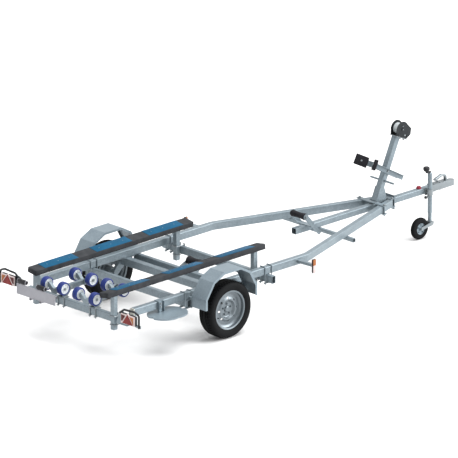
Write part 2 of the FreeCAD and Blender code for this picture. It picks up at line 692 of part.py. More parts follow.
def roller_section(centre, radius, wide, bore):
    """Half section of a roller: rounded rim, dished web and a hub boss on the spindle."""
    half = wide / 2
    return [(centre - half, bore), (centre - half, bore + 14), (centre - half + 9, bore + 18),
            (centre - half + 9, radius - 22), (centre - half, radius - 18), (centre - half, radius - 9),
            (centre - half + 2.6, radius - 2.6, True), (centre - half + 9, radius), (centre + half - 9, radius),
            (centre + half - 2.6, radius - 2.6, True), (centre + half, radius - 9), (centre + half, radius - 18),
            (centre + half - 9, radius - 22), (centre + half - 9, bore + 18), (centre + half, bore + 14),
            (centre + half, bore)]


def roller_pair(word, side, end, reach):
    pair = []
    for k, way in enumerate([-1, 1]):
        body = turned(f"cradle_roller_{end}_{word}_{k}",
                      roller_section(way * s.roller_pitch / 2, s.roller_radius, s.roller_wide, s.roller_bore + s.hub_play))
        place(body, -s.rocker_behind + reach, side * s.rocker_spread, s.spindle_height)
        pair.append(body)
    merged(f"rollers_{end}_{word}", pair)


merged("rocker_brackets", [rocker_bracket(word, side) for word, side in SIDES])
for word, side in SIDES:
    rocker(word, side)
    roller_pair(word, side, "rear", -s.rocker_reach)
    roller_pair(word, side, "front", s.rocker_reach)

# ---------------------------------------------------------------- keel rollers
# name, axle ahead, axle height, roller radius, roller length
KEEL_ROLLERS = [
    ("middle", 400, 490, 45, 190),
    ("front", 1880, 640, 36, 200),
]
cheek_wall = 5
keel_brackets = []


def keel_roller(name, ahead, up, radius, long):
    """A waisted rubber roller for the keel, free on its own spindle."""
    bore = s.keel_roller_bore + s.hub_play
    half = long / 2
    section = [(-half, bore), (-half, radius - 6), (-half + 6, radius), (-half + 22, radius), (-half * 0.3, radius * 0.82),
               (half * 0.3, radius * 0.82), (half - 22, radius), (half - 6, radius), (half, radius - 6), (half, bore)]
    body = turned(f"keel_roller_{name}", section)
    place(body, ahead, 0, up)
    node(body, f"keel_roller_{name}")


def keel_bracket(name, ahead, up, long, outline_points, webs):
    """Cheeks on both sides of a keel roller, its spindle, and the webs that carry them.

    webs: rows of low ahead, high ahead, low, high.
    """
    body = new_body(f"keel_bracket_{name}")
    gap = long / 2 + 1 + cheek_wall / 2
    for way in (-1, 1):
        ear = sketch_on(body, f"keel_cheek_{name}_{way + 1}", "XZ_Plane", lift=way * gap)
        outline(ear, outline_points)
        pad(body, ear, str(cheek_wall), both_ways=True)
    for k, (a, b, low, high) in enumerate(webs):
        web = sketch_on(body, f"keel_web_{name}_{k}", "XZ_Plane")
        outline(web, [(a, low), (b, low), (b, high), (a, high)])
        pad(body, web, f"{long + 2 + 2 * cheek_wall}", both_ways=True)
    spindle = sketch_on(body, f"keel_spindle_{name}", "XZ_Plane")
    circle(spindle, "keel_roller_bore", ahead, up)
    pad(body, spindle, f"{long + 2 + 2 * cheek_wall + 14}", both_ways=True)
    place(body, 0, 0, 0)
    keel_brackets.append(body)


for row in KEEL_ROLLERS:
    keel_roller(*row)

(_, mid_at, mid_up, _, mid_long), (_, fore_at, fore_up, _, fore_long) = KEEL_ROLLERS
axle_face = axle_cross + s.cross_wide / 2
keel_bracket("middle", mid_at, mid_up, mid_long,
             [(axle_face, cross_top - 70), (axle_face + 40, cross_top - 70), (mid_at + 22, mid_up - 12),
              (mid_at, mid_up + 24, True), (mid_at - 22, mid_up - 2), (axle_face, cross_top)],
             [(axle_face, axle_face + 6, cross_top - 70, cross_top)])
keel_bracket("front", fore_at, fore_up, fore_long,
             teardrop(fore_at, fore_up, 28, fore_at + 190, keel_bottom - 18, 22),
             [(fore_at + 70, fore_at + 110, keel_top, keel_top + 8),
              (fore_at + 150, fore_at + 205, keel_bottom - 8, keel_bottom)])
merged("keel_roller_brackets", keel_brackets)

# ---------------------------------------------------------------- winch post
lean = math.radians(s.winch_lean)


def along_post(distance, out=0.0):
    """A point up the leaning post, moved out square to it towards the coupling."""
    foot = keel_top + s.winch_square / 2 * math.sin(lean)
    return (s.winch_ahead + distance * math.sin(lean) + out * math.cos(lean),
            foot + distance * math.cos(lean) - out * math.sin(lean))


def on_post(obj, distance, left=0.0, out=0.0):
    ahead, up = along_post(distance, out)
    place(obj, ahead, left, up, s.winch_lean, (0, 1, 0))
    return obj


tee_up, tee_radius, tee_long = 222, 7, 340

post = tube("winch_post", "winch_square", "keel_square", "keel_wall", "winch_post_long", "XY_Plane")
tee_hole = sketch_on(post, "tee_hole", "XZ_Plane")
circle(tee_hole, str(tee_radius), 0, tee_up - s.winch_post_long / 2)
pocket_through(post, tee_hole)
node(on_post(post, s.winch_post_long / 2), "winch_post")
node(across("post_tee_bar", tee_radius, tee_long, along_post(tee_up)[0], -tee_long / 2, along_post(tee_up)[1]),
     "post_tee_bar")

tip_at, tip_half, tip_wall, tip_deep = arm_front + 60, s.keel_square / 2 + 62, 6, 73
foot_front = tip_at - tip_deep - 2                      # clear of the drawbar tip's bars
foot_plates = []
for word, side in SIDES:
    x, z = along_post(150, s.winch_square / 2)
    xr, zr = along_post(150, -s.winch_square / 2)
    shape = [(s.winch_ahead - 25, keel_bottom + 6), (foot_front, keel_bottom + 6),
             (foot_front, s.beam_top - 2), (x, z), (xr, zr), (s.winch_ahead - 25, keel_top + 30)]
    one = plate(f"winch_foot_{word}", shape, "6")
    place(one, 0, side * (s.keel_square / 2 + 3), 0)
    foot_plates.append(one)
merged("winch_post_foot", foot_plates)

clamp_at = s.winch_ahead - 52
clamp_half = arm_line(clamp_at) + arm_half + 31
clamps = [box("drawbar_clamp_top", 50, 2 * clamp_half, 8, clamp_at - 30, -clamp_half, s.beam_top),
          box("drawbar_clamp_low", 50, 2 * clamp_half, 8, clamp_at - 30, -clamp_half, beam_bottom - 8)]
for word, side in SIDES:
    bolt = doc.addObject("Part::Cylinder", f"drawbar_bolt_{word}")
    bind(bolt, Radius="8", Height="beam_deep + 46")
    place(bolt, clamp_at, side * (arm_line(clamp_at) + arm_half + 10), beam_bottom - 26)
    clamps.append(bolt)
node(fused("drawbar_clamp", clamps), "drawbar_clamp")

tip_plate = new_body("tip_plate")
tip_face = sketch_on(tip_plate, "tip_face", "YZ_Plane")
rectangle(tip_face, "keel_square + 85", "keel_square + 85")
rectangle(tip_face, "keel_square", "keel_square")
pad(tip_plate, tip_face, str(tip_wall), both_ways=True)
place(tip_plate, tip_at + tip_wall / 2, 0, keel_middle)
tips = [tip_plate]
for name, low in [("top", s.beam_top), ("low", beam_bottom - tip_wall)]:
    tips.append(box(f"tip_bar_{name}", tip_deep, 2 * tip_half, tip_wall, tip_at + tip_wall - tip_deep, -tip_half, low))
node(fused("drawbar_tip", tips), "drawbar_tip")

# winch: its frame stands on the post's top, the drum turns between the side plates
drum_up, drum_out, flange_radius = 82, 14, 70
shaft = 10
crank_out, crank_up, crank_long, crank_radius = 72, 32, 170, 9

frame_body = new_body("winch_frame")
for way in (-1, 1):
    side_plate = sketch_on(frame_body, f"winch_side_{way + 1}", "XZ_Plane", lift=way * (s.drum_wide / 2 + 3 + 2))
    outline(side_plate, [(-40, 0), (110, 0), (152, 56), (136, 120), (drum_out + 46, drum_up + 68),
                         (drum_out - 58, drum_up + 58, True), (drum_out - 80, drum_up - 18)])
    pad(frame_body, side_plate, "4", both_ways=True)
base = sketch_on(frame_body, "winch_base", "XZ_Plane")
outline(base, [(-40, 0), (108, 0), (108, 5), (-40, 5)])
pad(frame_body, base, "drum_wide + 14", both_ways=True)
axle_hole = sketch_on(frame_body, "winch_axle_hole", "XZ_Plane")
circle(axle_hole, f"{shaft} + hub_play", drum_out, drum_up)
circle(axle_hole, f"{crank_radius} + hub_play", crank_out, crank_up)
pocket_through(frame_body, axle_hole)
node(on_post(frame_body, s.winch_post_long), "winch_frame")

drum = turned("winch_drum", [(-s.drum_wide / 2 - 14, 0), (-s.drum_wide / 2 - 14, shaft), (-s.drum_wide / 2, shaft),
                             (-s.drum_wide / 2, 60), (-s.drum_wide / 2 + 4, 60), (-s.drum_wide / 2 + 4, 54),
                             (s.drum_wide / 2 - 4, 54), (s.drum_wide / 2 - 4, 60), (s.drum_wide / 2, 60),
                             (s.drum_wide / 2, shaft), (s.drum_wide / 2 + 14, shaft), (s.drum_wide / 2 + 14, 0)])
node(on_post(drum, s.winch_post_long + drum_up, 0, drum_out), "winch_drum")

crank = new_body("winch_handle")
crank_shaft = sketch_on(crank, "crank_shaft", "XZ_Plane", lift=s.drum_wide / 2 + 12)
circle(crank_shaft, str(crank_radius))
pad(crank, crank_shaft, "drum_wide + 62", backwards=True)
crank_arm = sketch_on(crank, "crank_arm", "XZ_Plane", lift=-(s.drum_wide / 2 + 42))
outline(crank_arm, teardrop(0, 0, 16, crank_long, 0, 12))
pad(crank, crank_arm, "8", both_ways=True)
grip = sketch_on(crank, "crank_grip", "XZ_Plane", lift=-(s.drum_wide / 2 + 40))
circle(grip, "13", crank_long, 0)
pad(crank, grip, "100", backwards=True)
node(on_post(crank, s.winch_post_long + crank_up, 0, crank_out), "winch_handle")

# ---------------------------------------------------------------- bow stop
# the yoke's face is the rails' rear end; the rails slope down from it past the post
yoke_ahead, yoke_up, rail_slope = s.winch_ahead - 39, keel_top + 410, 29.5
rail_tall, rail_wide, rail_long, rail_wall = 50, 26, 448, 4
wing_long, pad_thick, pad_tall, pad_long = 130, 38, 110, 139


def on_rails(obj, ahead=0.0, left=0.0, turn=0.0):
    """Place a piece in the rails' own sloping frame, turned about its upright."""
    slope = Placement(Vector(yoke_ahead - middle, 0, yoke_up), Rotation(Vector(0, 1, 0), rail_slope))
    obj.Placement = slope.multiply(Placement(Vector(ahead, left, 0), Rotation(Vector(0, 0, 1), turn)))
    return obj


def bow_stop():
    """Two channels along the post's sides, a folded V yoke across their ends, and a pad on each wing."""
    rails, pads = [], []
    for word, side in SIDES:
        rail = new_body(f"bow_rail_{word}")
        face = sketch_on(rail, f"bow_rail_section_{word}", "YZ_Plane")
        w, h, t = rail_wide * side, rail_tall / 2, rail_wall * side
        outline(face, [(0, -h), (w, -h), (w, rail_wall - h), (t, rail_wall - h), (t, h - rail_wall), (w, h - rail_wall),
                       (w, h), (0, h)])
        pad(rail, face, str(rail_long))
        rails.append(on_rails(rail, 5, side * s.keel_square / 2))
        soft = new_body(f"bow_pad_{word}")
        block = sketch_on(soft, f"bow_pad_section_{word}", "XY_Plane")
        outline(block, [(0, 0), (pad_thick, 0), (pad_thick, pad_long), (0, pad_long)] if side > 0 else
                [(0, -pad_long), (pad_thick, -pad_long), (pad_thick, 0), (0, 0)])
        pad(soft, block, str(pad_tall), both_ways=True)
        away = math.sqrt(0.5)
        on_rails(soft, -away * (25 + pad_thick), side * (45 + away * (25 - pad_thick)), side * 45)
        pads.append(soft)
    merged("bow_stop_rails", rails)
    merged("bow_stop_pads", pads)
    yoke = new_body("bow_stop_yoke")
    fold = sketch_on(yoke, "bow_yoke_fold", "XY_Plane")
    reach = wing_long * math.sqrt(0.5)
    outline(fold, [(0, -45), (-reach, -45 - reach), (3.5 - reach, -48.5 - reach), (5, -47), (5, 47),
                   (3.5 - reach, 48.5 + reach), (-reach, 45 + reach), (0, 45)])
    pad(yoke, fold, str(rail_tall + 10), both_ways=True)
    node(on_rails(yoke), "bow_stop_yoke")


bow_stop()

# ---------------------------------------------------------------- jockey wheel
sleeve_low, sleeve_high, clamp_low, clamp_high = 250, 672, keel_bottom - 10, keel_top - 10
inner_radius, crank_pin = s.jockey_radius - s.jockey_wall, 8


def jockey_sleeve():
    """Outer tube of the jack, held in its clamp, with the screw cap and crank on top."""
    body = turned("jockey_sleeve", [(sleeve_low, inner_radius + s.hub_play), (sleeve_low, s.jockey_radius),
                                    (sleeve_high, s.jockey_radius), (sleeve_high + 8, s.jockey_radius - 6),
                                    (sleeve_high + 14, 12), (sleeve_high + 14, crank_pin + s.hub_play),
                                    (sleeve_high + 2, crank_pin + s.hub_play), (sleeve_high + 2, 0),
                                    (sleeve_high - 6, 0), (sleeve_high - 6, inner_radius + s.hub_play)])
    place(body, s.jockey_ahead, -jockey_offset, 0, 90, (1, 0, 0))
    node(body, "jockey_sleeve")


def jockey_crank():
    """Crank on the jack's screw: a pin in the cap, a short arm and an upright knob."""
    body = new_body("jockey_crank")
    base, reach = sleeve_high + 16, 50
    pin = sketch_on(body, "crank_pin", "XY_Plane", lift=sleeve_high + 4)
    circle(pin, str(crank_pin))
    pad(body, pin, "20")
    arm = sketch_on(body, "crank_bar", "XY_Plane", lift=base)
    outline(arm, teardrop(0, 0, 14, -reach, 0, 10))
    pad(body, arm, "8")
    for low, radius, tall in [(6, 7, 16), (18, 17, 12), (28, 25, 18)]:
        step = sketch_on(body, f"crank_knob_{low}", "XY_Plane", lift=base + low)
        circle(step, str(radius), -reach, 0)
        pad(body, step, str(tall))
    place(body, s.jockey_ahead, -jockey_offset, 0)
    node(body, "jockey_crank")


def jockey_clamp():
    """Split collar round the sleeve on a web and a plate bolted to the keel tube's side."""
    body = new_body("jockey_clamp")
    near = -s.keel_square / 2
    jaw = sketch_on(body, "jockey_jaw", "XY_Plane", lift=clamp_low)
    outline(jaw, [(-42, near), (42, near), (42, near - 8), (18, near - 8), (18, -jockey_offset), (-18, -jockey_offset),
                  (-18, near - 8), (-42, near - 8)])
    pad(body, jaw, str(clamp_high - clamp_low))
    collar = sketch_on(body, "jockey_collar", "XY_Plane", lift=clamp_low)
    circle(collar, "jockey_radius + 8", 0, -jockey_offset)
    pad(body, collar, str(clamp_high - clamp_low))
    bore = sketch_on(body, "jockey_collar_bore", "XY_Plane")
    circle(bore, "jockey_radius", 0, -jockey_offset)
    pocket_through(body, bore)
    place(body, s.jockey_ahead, 0, 0)
    node(body, "jockey_clamp")


def jockey_stem():
    """Inner tube of the jack with a blind bore for the fork's swivel pin."""
    body = turned("jockey_stem", [(stem_low, swivel_radius + s.hub_play), (stem_low, inner_radius),
                                  (stem_high, inner_radius), (stem_high, 0), (stem_low + 45, 0),
                                  (stem_low + 45, swivel_radius + s.hub_play)])
    place(body, s.jockey_ahead, -jockey_offset, 0, 90, (1, 0, 0))
    node(body, "jockey_stem")


def jockey_fork():
    """Crown with a swivel pin and two arms that trail down to the wheel's bolt."""
    body = new_body("jockey_fork")
    half = s.jockey_tyre / 2 + 6
    crown = sketch_on(body, "fork_crown", "XZ_Plane")
    outline(crown, [(-24, stem_low - 24), (24, stem_low - 24), (24, stem_low - 1), (-24, stem_low - 1)])
    pad(body, crown, f"jockey_tyre + 12 + {2 * fork_wall}", both_ways=True)
    for way in (-1, 1):
        arm = sketch_on(body, f"fork_arm_{way + 1}", "XZ_Plane", lift=way * (half + fork_wall / 2))
        outline(arm, teardrop(0, stem_low - 20, 19, -s.jockey_trail, s.jockey_wheel, 15))
        pad(body, arm, str(fork_wall), both_ways=True)
    pin = sketch_on(body, "fork_pin", "XY_Plane", lift=stem_low - 10)
    circle(pin, str(swivel_radius))
    pad(body, pin, "50")
    bolt = sketch_on(body, "fork_bolt", "XZ_Plane")
    circle(bolt, str(swivel_radius), -s.jockey_trail, s.jockey_wheel)
    pad(body, bolt, f"jockey_tyre + 12 + {2 * fork_wall + 12}", both_ways=True)
    place(body, s.jockey_ahead, -jockey_offset, 0)
    node(body, "jockey_fork")


def jockey_wheel():
    """Small wheel: a pressed disc pair with hub, and a solid rubber tyre."""
    r, half = s.jockey_wheel, s.jockey_tyre / 2
    seat = r * 0.6
    disc = turned("jockey_disc", [(-half, swivel_radius + s.hub_play), (-half, 20), (-half + 8, 24), (-half + 8, seat - 10),
                                  (-half + 2, seat), (half - 2, seat), (half - 8, seat - 10), (half - 8, 24), (half, 20),
                                  (half, swivel_radius + s.hub_play)])
    band = turned("jockey_tyre", [(-half + 2, seat), (-half, seat + 12), (-half + 3, r - 14, True), (-half + 12, r - 4),
                                  (0, r, True), (half - 12, r - 4), (half - 3, r - 14, True), (half, seat + 12),
                                  (half - 2, seat)])
    for piece in (disc, band):
        place(piece, s.jockey_ahead - s.jockey_trail, -jockey_offset, s.jockey_wheel)
        node(piece, piece.Name)


stem_low, stem_high, swivel_radius, fork_wall = 160, 455, 9, 5
jockey_sleeve()
jockey_crank()
jockey_clamp()
jockey_stem()
jockey_fork()
jockey_wheel()

# ---------------------------------------------------------------- coupling
ball_ahead, hood_back = s.nose_ahead - 36, s.keel_front - 170
hood_low, hood_high, hood_half = keel_bottom, keel_top + 6, s.keel_square / 2 + 5.5


def coupling():
    """Pressed hood over the keel tube's front end, with the ball socket under its nose."""
    body = new_body("coupling")
    hood = sketch_on(body, "hood_outline", "XY_Plane", lift=hood_low)
    outline(hood, [(hood_back, -hood_half), (s.keel_front + 30, -hood_half), (ball_ahead, -36), (s.nose_ahead, 0, True),
                   (ball_ahead, 36), (s.keel_front + 30, hood_half), (hood_back, hood_half)])
    pad(body, hood, str(hood_high - hood_low))
    slot = sketch_on(body, "hood_slot", "YZ_Plane")
    rectangle(slot, "keel_square", "keel_square + 20", 0, keel_middle - 10)
    cut = body.newObject("PartDesign::Pocket", "hood_slot_cut")
    cut.Profile = slot
    cut.Type = "Length"
    cut.Reversed = True
    cut.setExpression("Length", cells("keel_front + 0.5"))
    socket = sketch_on(body, "socket_outline", "XZ_Plane")
    ball = s.ball_size / 2 + s.hub_play
    centre = hood_low + 24
    outline(socket, [(ball_ahead, hood_low - 1), (ball_ahead + ball, hood_low - 1), (ball_ahead + ball, centre),
                     (ball_ahead + ball * math.sqrt(0.5), centre + ball * math.sqrt(0.5), True),
                     (ball_ahead, centre + ball)])
    groove = body.newObject("PartDesign::Groove", "socket_cut")
    groove.Profile = socket
    line = body.newObject("PartDesign::Line", "socket_axis")
    line.Placement = Placement(Vector(ball_ahead, 0, 0), Rotation())
    groove.ReferenceAxis = (line, [""])
    groove.Angle = 360
    place(body, 0, 0, 0)
    node(body, "coupling")


coupling()

lever_points = [(-268, 31), (-164, 61), (-124, 51), (-116, 5), (-86, 5), (-86, 0), (-122, 0), (-129, 46), (-164, 55),
                (-266, 26)]
lever = plate("coupling_lever", [(s.nose_ahead + x, hood_high + z) for x, z in lever_points], "30")
place(lever, 0, 0, 0)
node(lever, "coupling_lever")

# ---------------------------------------------------------------- lamps, plate holder and step
lamps, hoops, lamp_mounts = [], [], []
lamp_low = s.lamp_height - s.lamp_tall / 2
lamp_high = lamp_low + s.lamp_tall
lamp_back = -s.lamp_behind + s.lamp_deep
inner, outer = lamp_spread - s.lamp_wide / 2, lamp_spread + s.lamp_wide / 2
cross_face = rear_cross - s.cross_wide / 2
for word, side in SIDES:
    lamps.append(box(f"tail_lamp_{word}", "lamp_deep", "lamp_wide", "lamp_tall", -s.lamp_behind,
                     side * lamp_spread - s.lamp_wide / 2, lamp_low))

    def ring(sketch):
        circle(sketch, "hoop_radius")
        circle(sketch, "hoop_radius - 2")
    route = [(inner - 42, lamp_high - 14), (inner + 22, lamp_high + 31), (outer - 30, lamp_high + 40),
             (outer + 34, lamp_high + 16), (outer + 34, lamp_low - 16)]
    hoop = piped(f"lamp_hoop_{word}", mirrored(route, side), 28, ring, "YZ_Plane")
    place(hoop, lamp_back - s.hoop_radius, 0, 0)
    hoops.append(hoop)

    shape = [(s.frame_width / 2 - 45, cross_top - 30), (s.frame_width / 2, cross_top - 30), (inner, lamp_low + 5),
             (outer - 30, lamp_low + 5), (outer - 30, lamp_low - 18), (outer + 48, lamp_low - 18),
             (outer + 48, lamp_low + 12), (outer - 5, lamp_low + 12), (outer - 5, lamp_high - 8),
             (inner + 5, lamp_high - 8), (inner - 14, lamp_high + 10), (inner - 58, lamp_high - 4),
             (inner - 58, lamp_high - 24), (s.frame_width / 2 - 45, cross_top)]
    back = plate(f"lamp_plate_{word}", mirrored(shape, side), "4", "YZ_Plane")
    place(back, lamp_back + 2, 0, 0)
    arm = tube(f"lamp_arm_{word}", "30", "30", "3", f"{cross_face - lamp_back - 4}")
    place(arm, (cross_face + lamp_back + 4) / 2, side * (s.frame_width / 2 - 30), cross_top - 15)
    lamp_mounts.append(fused(f"lamp_mount_{word}", [back, arm]))
merged("tail_lamps", lamps)
merged("lamp_hoops", hoops)
merged("lamp_mounts", lamp_mounts)

plate_left, plate_low, plate_wall = 350, cross_top + 2, 6
plate_front = plate_wall - s.plate_behind
holder = [box("plate_board", plate_wall, "plate_wide", "plate_tall", -s.plate_behind, plate_left - s.plate_wide / 2,
              plate_low)]
for k, left in enumerate([plate_left - 55, plate_left + 90]):
    arm = tube(f"plate_arm_{k}", "24", "24", "2.5", f"{cross_face - plate_front}")
    place(arm, (cross_face + plate_front) / 2, left, plate_low - 18)
    lug = box(f"plate_lug_{k}", 6, 24, 46, plate_front, left - 12, plate_low - 6)
    holder += [arm, lug]
for k, left in enumerate([plate_left - 60, plate_left + 215]):
    lamp_up = plate_low + s.plate_tall + 22
    lamp = across(f"plate_lamp_{k}", 22, 120, 22 - s.plate_behind, left - 60, lamp_up)
    strap = box(f"plate_lamp_strap_{k}", 4, 40, 54, plate_front, left - 20, lamp_up - 44)
    holder += [lamp, strap]
node(fused("number_plate_holder", holder), "number_plate_holder")

markers, stalks = [], []
marker_ahead, marker_out = 1180, s.frame_width / 2 + 215
for word, side in SIDES:
    body = new_body(f"marker_lamp_{word}")
    case = sketch_on(body, f"marker_face_{word}", "XZ_Plane")
    outline(case, [(x, beam_middle + z) for x, z in [(-22, -78), (22, -78), (22, 60), (12, 70), (-12, 70), (-22, 60)]])
    pad(body, case, "28", both_ways=True)
    place(body, marker_ahead, side * marker_out, 0)
    markers.append(body)
    stalk = new_body(f"marker_stalk_{word}")
    bar = sketch_on(stalk, f"marker_bar_{word}", "XY_Plane", lift=beam_middle - 14)
    outline(bar, [(-30, side * s.frame_width / 2), (30, side * s.frame_width / 2), (12, side * (marker_out - 14)),
                  (-12, side * (marker_out - 14))])
    pad(stalk, bar, "28")
    place(stalk, marker_ahead, 0, 0)
    stalks.append(stalk)
merged("marker_lamps", markers)
merged("marker_stalks", stalks)

def rounded_box(x, y, wide, tall, corner):
    """Outline of a rectangle with rounded corners, as runs and arc middles."""
    w, h, cut = wide / 2 - corner, tall / 2 - corner, corner * math.sqrt(0.5)
    points = []
    for i, j in [(1, 1), (-1, 1), (-1, -1), (1, -1)]:
        ends = [(x + i * (w + corner), y + j * h), (x + i * w, y + j * (h + corner))]
        before, after = ends if i * j > 0 else ends[::-1]
        points += [before, after, (x + i * (w + cut), y + j * (h + cut), True)]
    return points


step_at, step_out, step_up = -757, s.frame_width / 2 + s.step_wide / 2, 420
tread = new_body("step_tread")
face = sketch_on(tread, "step_face", "XY_Plane")
outline(face, rounded_box(0, 0, s.step_long, s.step_wide, 26))
pad(tread, face, "16")
slots = sketch_on(tread, "step_slots", "XY_Plane")
for row in (-1, 0, 1):
    for column in (-1, 1):
        outline(slots, rounded_box(row * 62, column * 34, 24, 48, 8))
pocket_through(tread, slots)
place(tread, step_at, -step_out, step_up - 16)
step_left = -s.frame_width / 2 - 8
step_pieces = [tread, box("step_hook", 72, 60, 6, step_at - 56, step_left, s.beam_top),
               box("step_back", 72, 8, s.beam_top - step_up + 22, step_at - 56, step_left, step_up - 16)]
for k, ahead in enumerate([step_at - 56, step_at + 10]):
    step_pieces.append(box(f"step_flange_{k}", 6, 26, s.beam_top - step_up + 16, ahead, step_left - 20, step_up - 16))
node(fused("step", step_pieces), "step")

# ---------------------------------------------------------------- end caps and U-bolts
caps = []
for word, side in SIDES:
    cap = new_body(f"beam_cap_{word}")
    face = sketch_on(cap, f"cap_face_{word}", "YZ_Plane", lift=-4)
    rounded_rectangle(face, "beam_wide", "beam_deep", "2 * beam_wall")
    pad(cap, face, "4")
    plug = sketch_on(cap, f"cap_plug_{word}", "YZ_Plane")
    rounded_rectangle(plug, "beam_wide - 2 * beam_wall - 0.6", "beam_deep - 2 * beam_wall - 0.6", "beam_wall")
    pad(cap, plug, "22")
    place(cap, -s.beam_behind, side * beam_line, beam_middle)
    caps.append(cap)
merged("beam_end_caps", caps)

rod, rod_gap = 5, 0.2


def clamp_bolts(name, ahead, reach, side):
    """Two U-bolts over a side beam, one on each face of the cross member, and the two straps under it."""
    half, low = s.beam_wide / 2 + rod + rod_gap, cross_top - s.cross_deep
    left = side * beam_line

    def round_bar(sketch):
        circle(sketch, str(rod))
    route = [(left - half, low - 20), (left - half, s.beam_top + rod + rod_gap),
             (left + half, s.beam_top + rod + rod_gap), (left + half, low - 20)]
    pieces = []
    for k, way in enumerate([-1, 1]):
        bolt = piped(f"u_bolt_{name}_{k}", route, rod + 0.6, round_bar, "YZ_Plane")
        place(bolt, ahead + way * reach, 0, 0)
        pieces.append(bolt)
        pieces.append(box(f"u_strap_{name}_{k}", 2 * reach + 26, 26, 6, ahead - reach - 13, left + way * half - 13,
                          low - 6))
    return fused(f"clamp_{name}", pieces)


merged("u_bolts", [clamp_bolts(f"{name}_{word}", ahead, reach, side) for word, side in SIDES
                   for name, ahead, reach in [("middle", middle_cross, 44), ("front", front_cross, 46)]])

# ---------------------------------------------------------------- checks and export
doc.recompute()
for obj in doc.Objects:
    assert not {"Invalid", "Error"} & set(obj.State), f"{obj.Label} failed: {obj.State}"
for name, obj in nodes.items():
    assert not obj.Shape.isNull() and obj.Shape.isValid() and obj.Shape.Solids, f"{name} has no valid solid"

os.makedirs("parts", exist_ok=True)
for name, obj in nodes.items():
    obj.Shape.exportStep(f"parts/{name}.step")
print(f"{len(nodes)} sub-parts written")
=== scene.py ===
# %% [markdown]
# A boat trailer is mostly bare galvanised tube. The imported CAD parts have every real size, so they are loaded as a
# fixed frame and given finishes, and what tube can't show is modelled by hand: carpet, rubber, lenses and bolts.

# %% Load the frame
import json
import math

import bmesh
import bpy
from mathutils import Matrix, Vector


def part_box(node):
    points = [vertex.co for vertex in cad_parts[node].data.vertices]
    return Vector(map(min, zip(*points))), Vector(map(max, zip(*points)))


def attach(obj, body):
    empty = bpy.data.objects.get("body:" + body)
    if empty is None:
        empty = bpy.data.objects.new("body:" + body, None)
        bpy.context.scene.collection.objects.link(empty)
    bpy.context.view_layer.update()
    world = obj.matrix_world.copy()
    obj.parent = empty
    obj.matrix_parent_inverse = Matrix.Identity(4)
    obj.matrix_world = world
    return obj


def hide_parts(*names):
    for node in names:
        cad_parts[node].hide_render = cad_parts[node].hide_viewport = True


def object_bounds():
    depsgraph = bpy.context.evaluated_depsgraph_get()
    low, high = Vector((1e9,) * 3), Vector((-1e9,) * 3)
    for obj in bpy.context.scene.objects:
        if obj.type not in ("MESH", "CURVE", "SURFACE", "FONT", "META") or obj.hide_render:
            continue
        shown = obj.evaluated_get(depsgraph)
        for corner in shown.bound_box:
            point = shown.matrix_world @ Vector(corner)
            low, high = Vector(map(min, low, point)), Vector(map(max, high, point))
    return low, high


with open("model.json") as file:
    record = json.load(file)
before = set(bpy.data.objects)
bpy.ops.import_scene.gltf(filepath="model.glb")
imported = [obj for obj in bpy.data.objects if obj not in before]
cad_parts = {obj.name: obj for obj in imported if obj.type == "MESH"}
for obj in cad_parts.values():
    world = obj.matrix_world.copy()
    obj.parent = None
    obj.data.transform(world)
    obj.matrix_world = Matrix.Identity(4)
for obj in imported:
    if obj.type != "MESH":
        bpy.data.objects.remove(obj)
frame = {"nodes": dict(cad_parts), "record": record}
cad_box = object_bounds()
nodes = frame["nodes"]


# %% [markdown]
# Each finish starts from one Principled shader. Patterns read Object coordinates, which are real metres here, so a
# scale of 50 means a pattern about 20 mm across.

# %% Helpers for finishes
def new_finish(name, colour, metallic=0.0, roughness=0.5):
    """A material with one Principled shader; returns the material, its node tree and the shader."""
    material = bpy.data.materials.new(name)
    material.use_nodes = True
    tree = material.node_tree
    shader = tree.nodes["Principled BSDF"]
    shader.inputs["Base Color"].default_value = (*colour, 1)
    shader.inputs["Metallic"].default_value = metallic
    shader.inputs["Roughness"].default_value = roughness
    return material, tree, shader


def object_pattern(tree, kind, scale):
    """A pattern node on Object coordinates."""
    pattern = tree.nodes.new(kind)
    pattern.inputs["Scale"].default_value = scale
    tree.links.new(tree.nodes.new("ShaderNodeTexCoord").outputs["Object"], pattern.inputs["Vector"])
    return pattern


def noise(tree, scale, detail=3.0):
    """Soft clouds, 0 to 1."""
    pattern = object_pattern(tree, "ShaderNodeTexNoise", scale)
    pattern.inputs["Detail"].default_value = detail
    return pattern.outputs["Fac"]


def ramp(tree, value, stops):
    """A colour ramp through (position, (r, g, b)) stops."""
    band = tree.nodes.new("ShaderNodeValToRGB")
    while len(band.color_ramp.elements) < len(stops):
        band.color_ramp.elements.new(0.5)
    for element, (position, colour) in zip(band.color_ramp.elements, stops):
        element.position = position
        element.color = (*colour, 1)
    tree.links.new(value, band.inputs["Fac"])
    return band.outputs["Color"]


def between(tree, value, low, high):
    """Map a 0..1 pattern to a range, as for roughness."""
    stretch = tree.nodes.new("ShaderNodeMapRange")
    stretch.inputs["To Min"].default_value = low
    stretch.inputs["To Max"].default_value = high
    tree.links.new(value, stretch.inputs["Value"])
    return stretch.outputs["Result"]


def bump(tree, shader, height, distance, strength):
    """Fine relief from a pattern; distance is the real height in metres."""
    relief = tree.nodes.new("ShaderNodeBump")
    relief.inputs["Distance"].default_value = distance
    relief.inputs["Strength"].default_value = strength
    tree.links.new(height, relief.inputs["Height"])
    tree.links.new(relief.outputs["Normal"], shader.inputs["Normal"])


print("finish helpers ready")


# %% [markdown]
# Hot-dip zinc cools in flat crystals, each a slightly different grey, over a cloudy base. A Voronoi pattern gives
# the crystals and a soft noise the clouds; both also move the roughness, so that neighbours catch the light
# differently.

# %% Zinc finishes
CRYSTAL_SHARE = 0.35


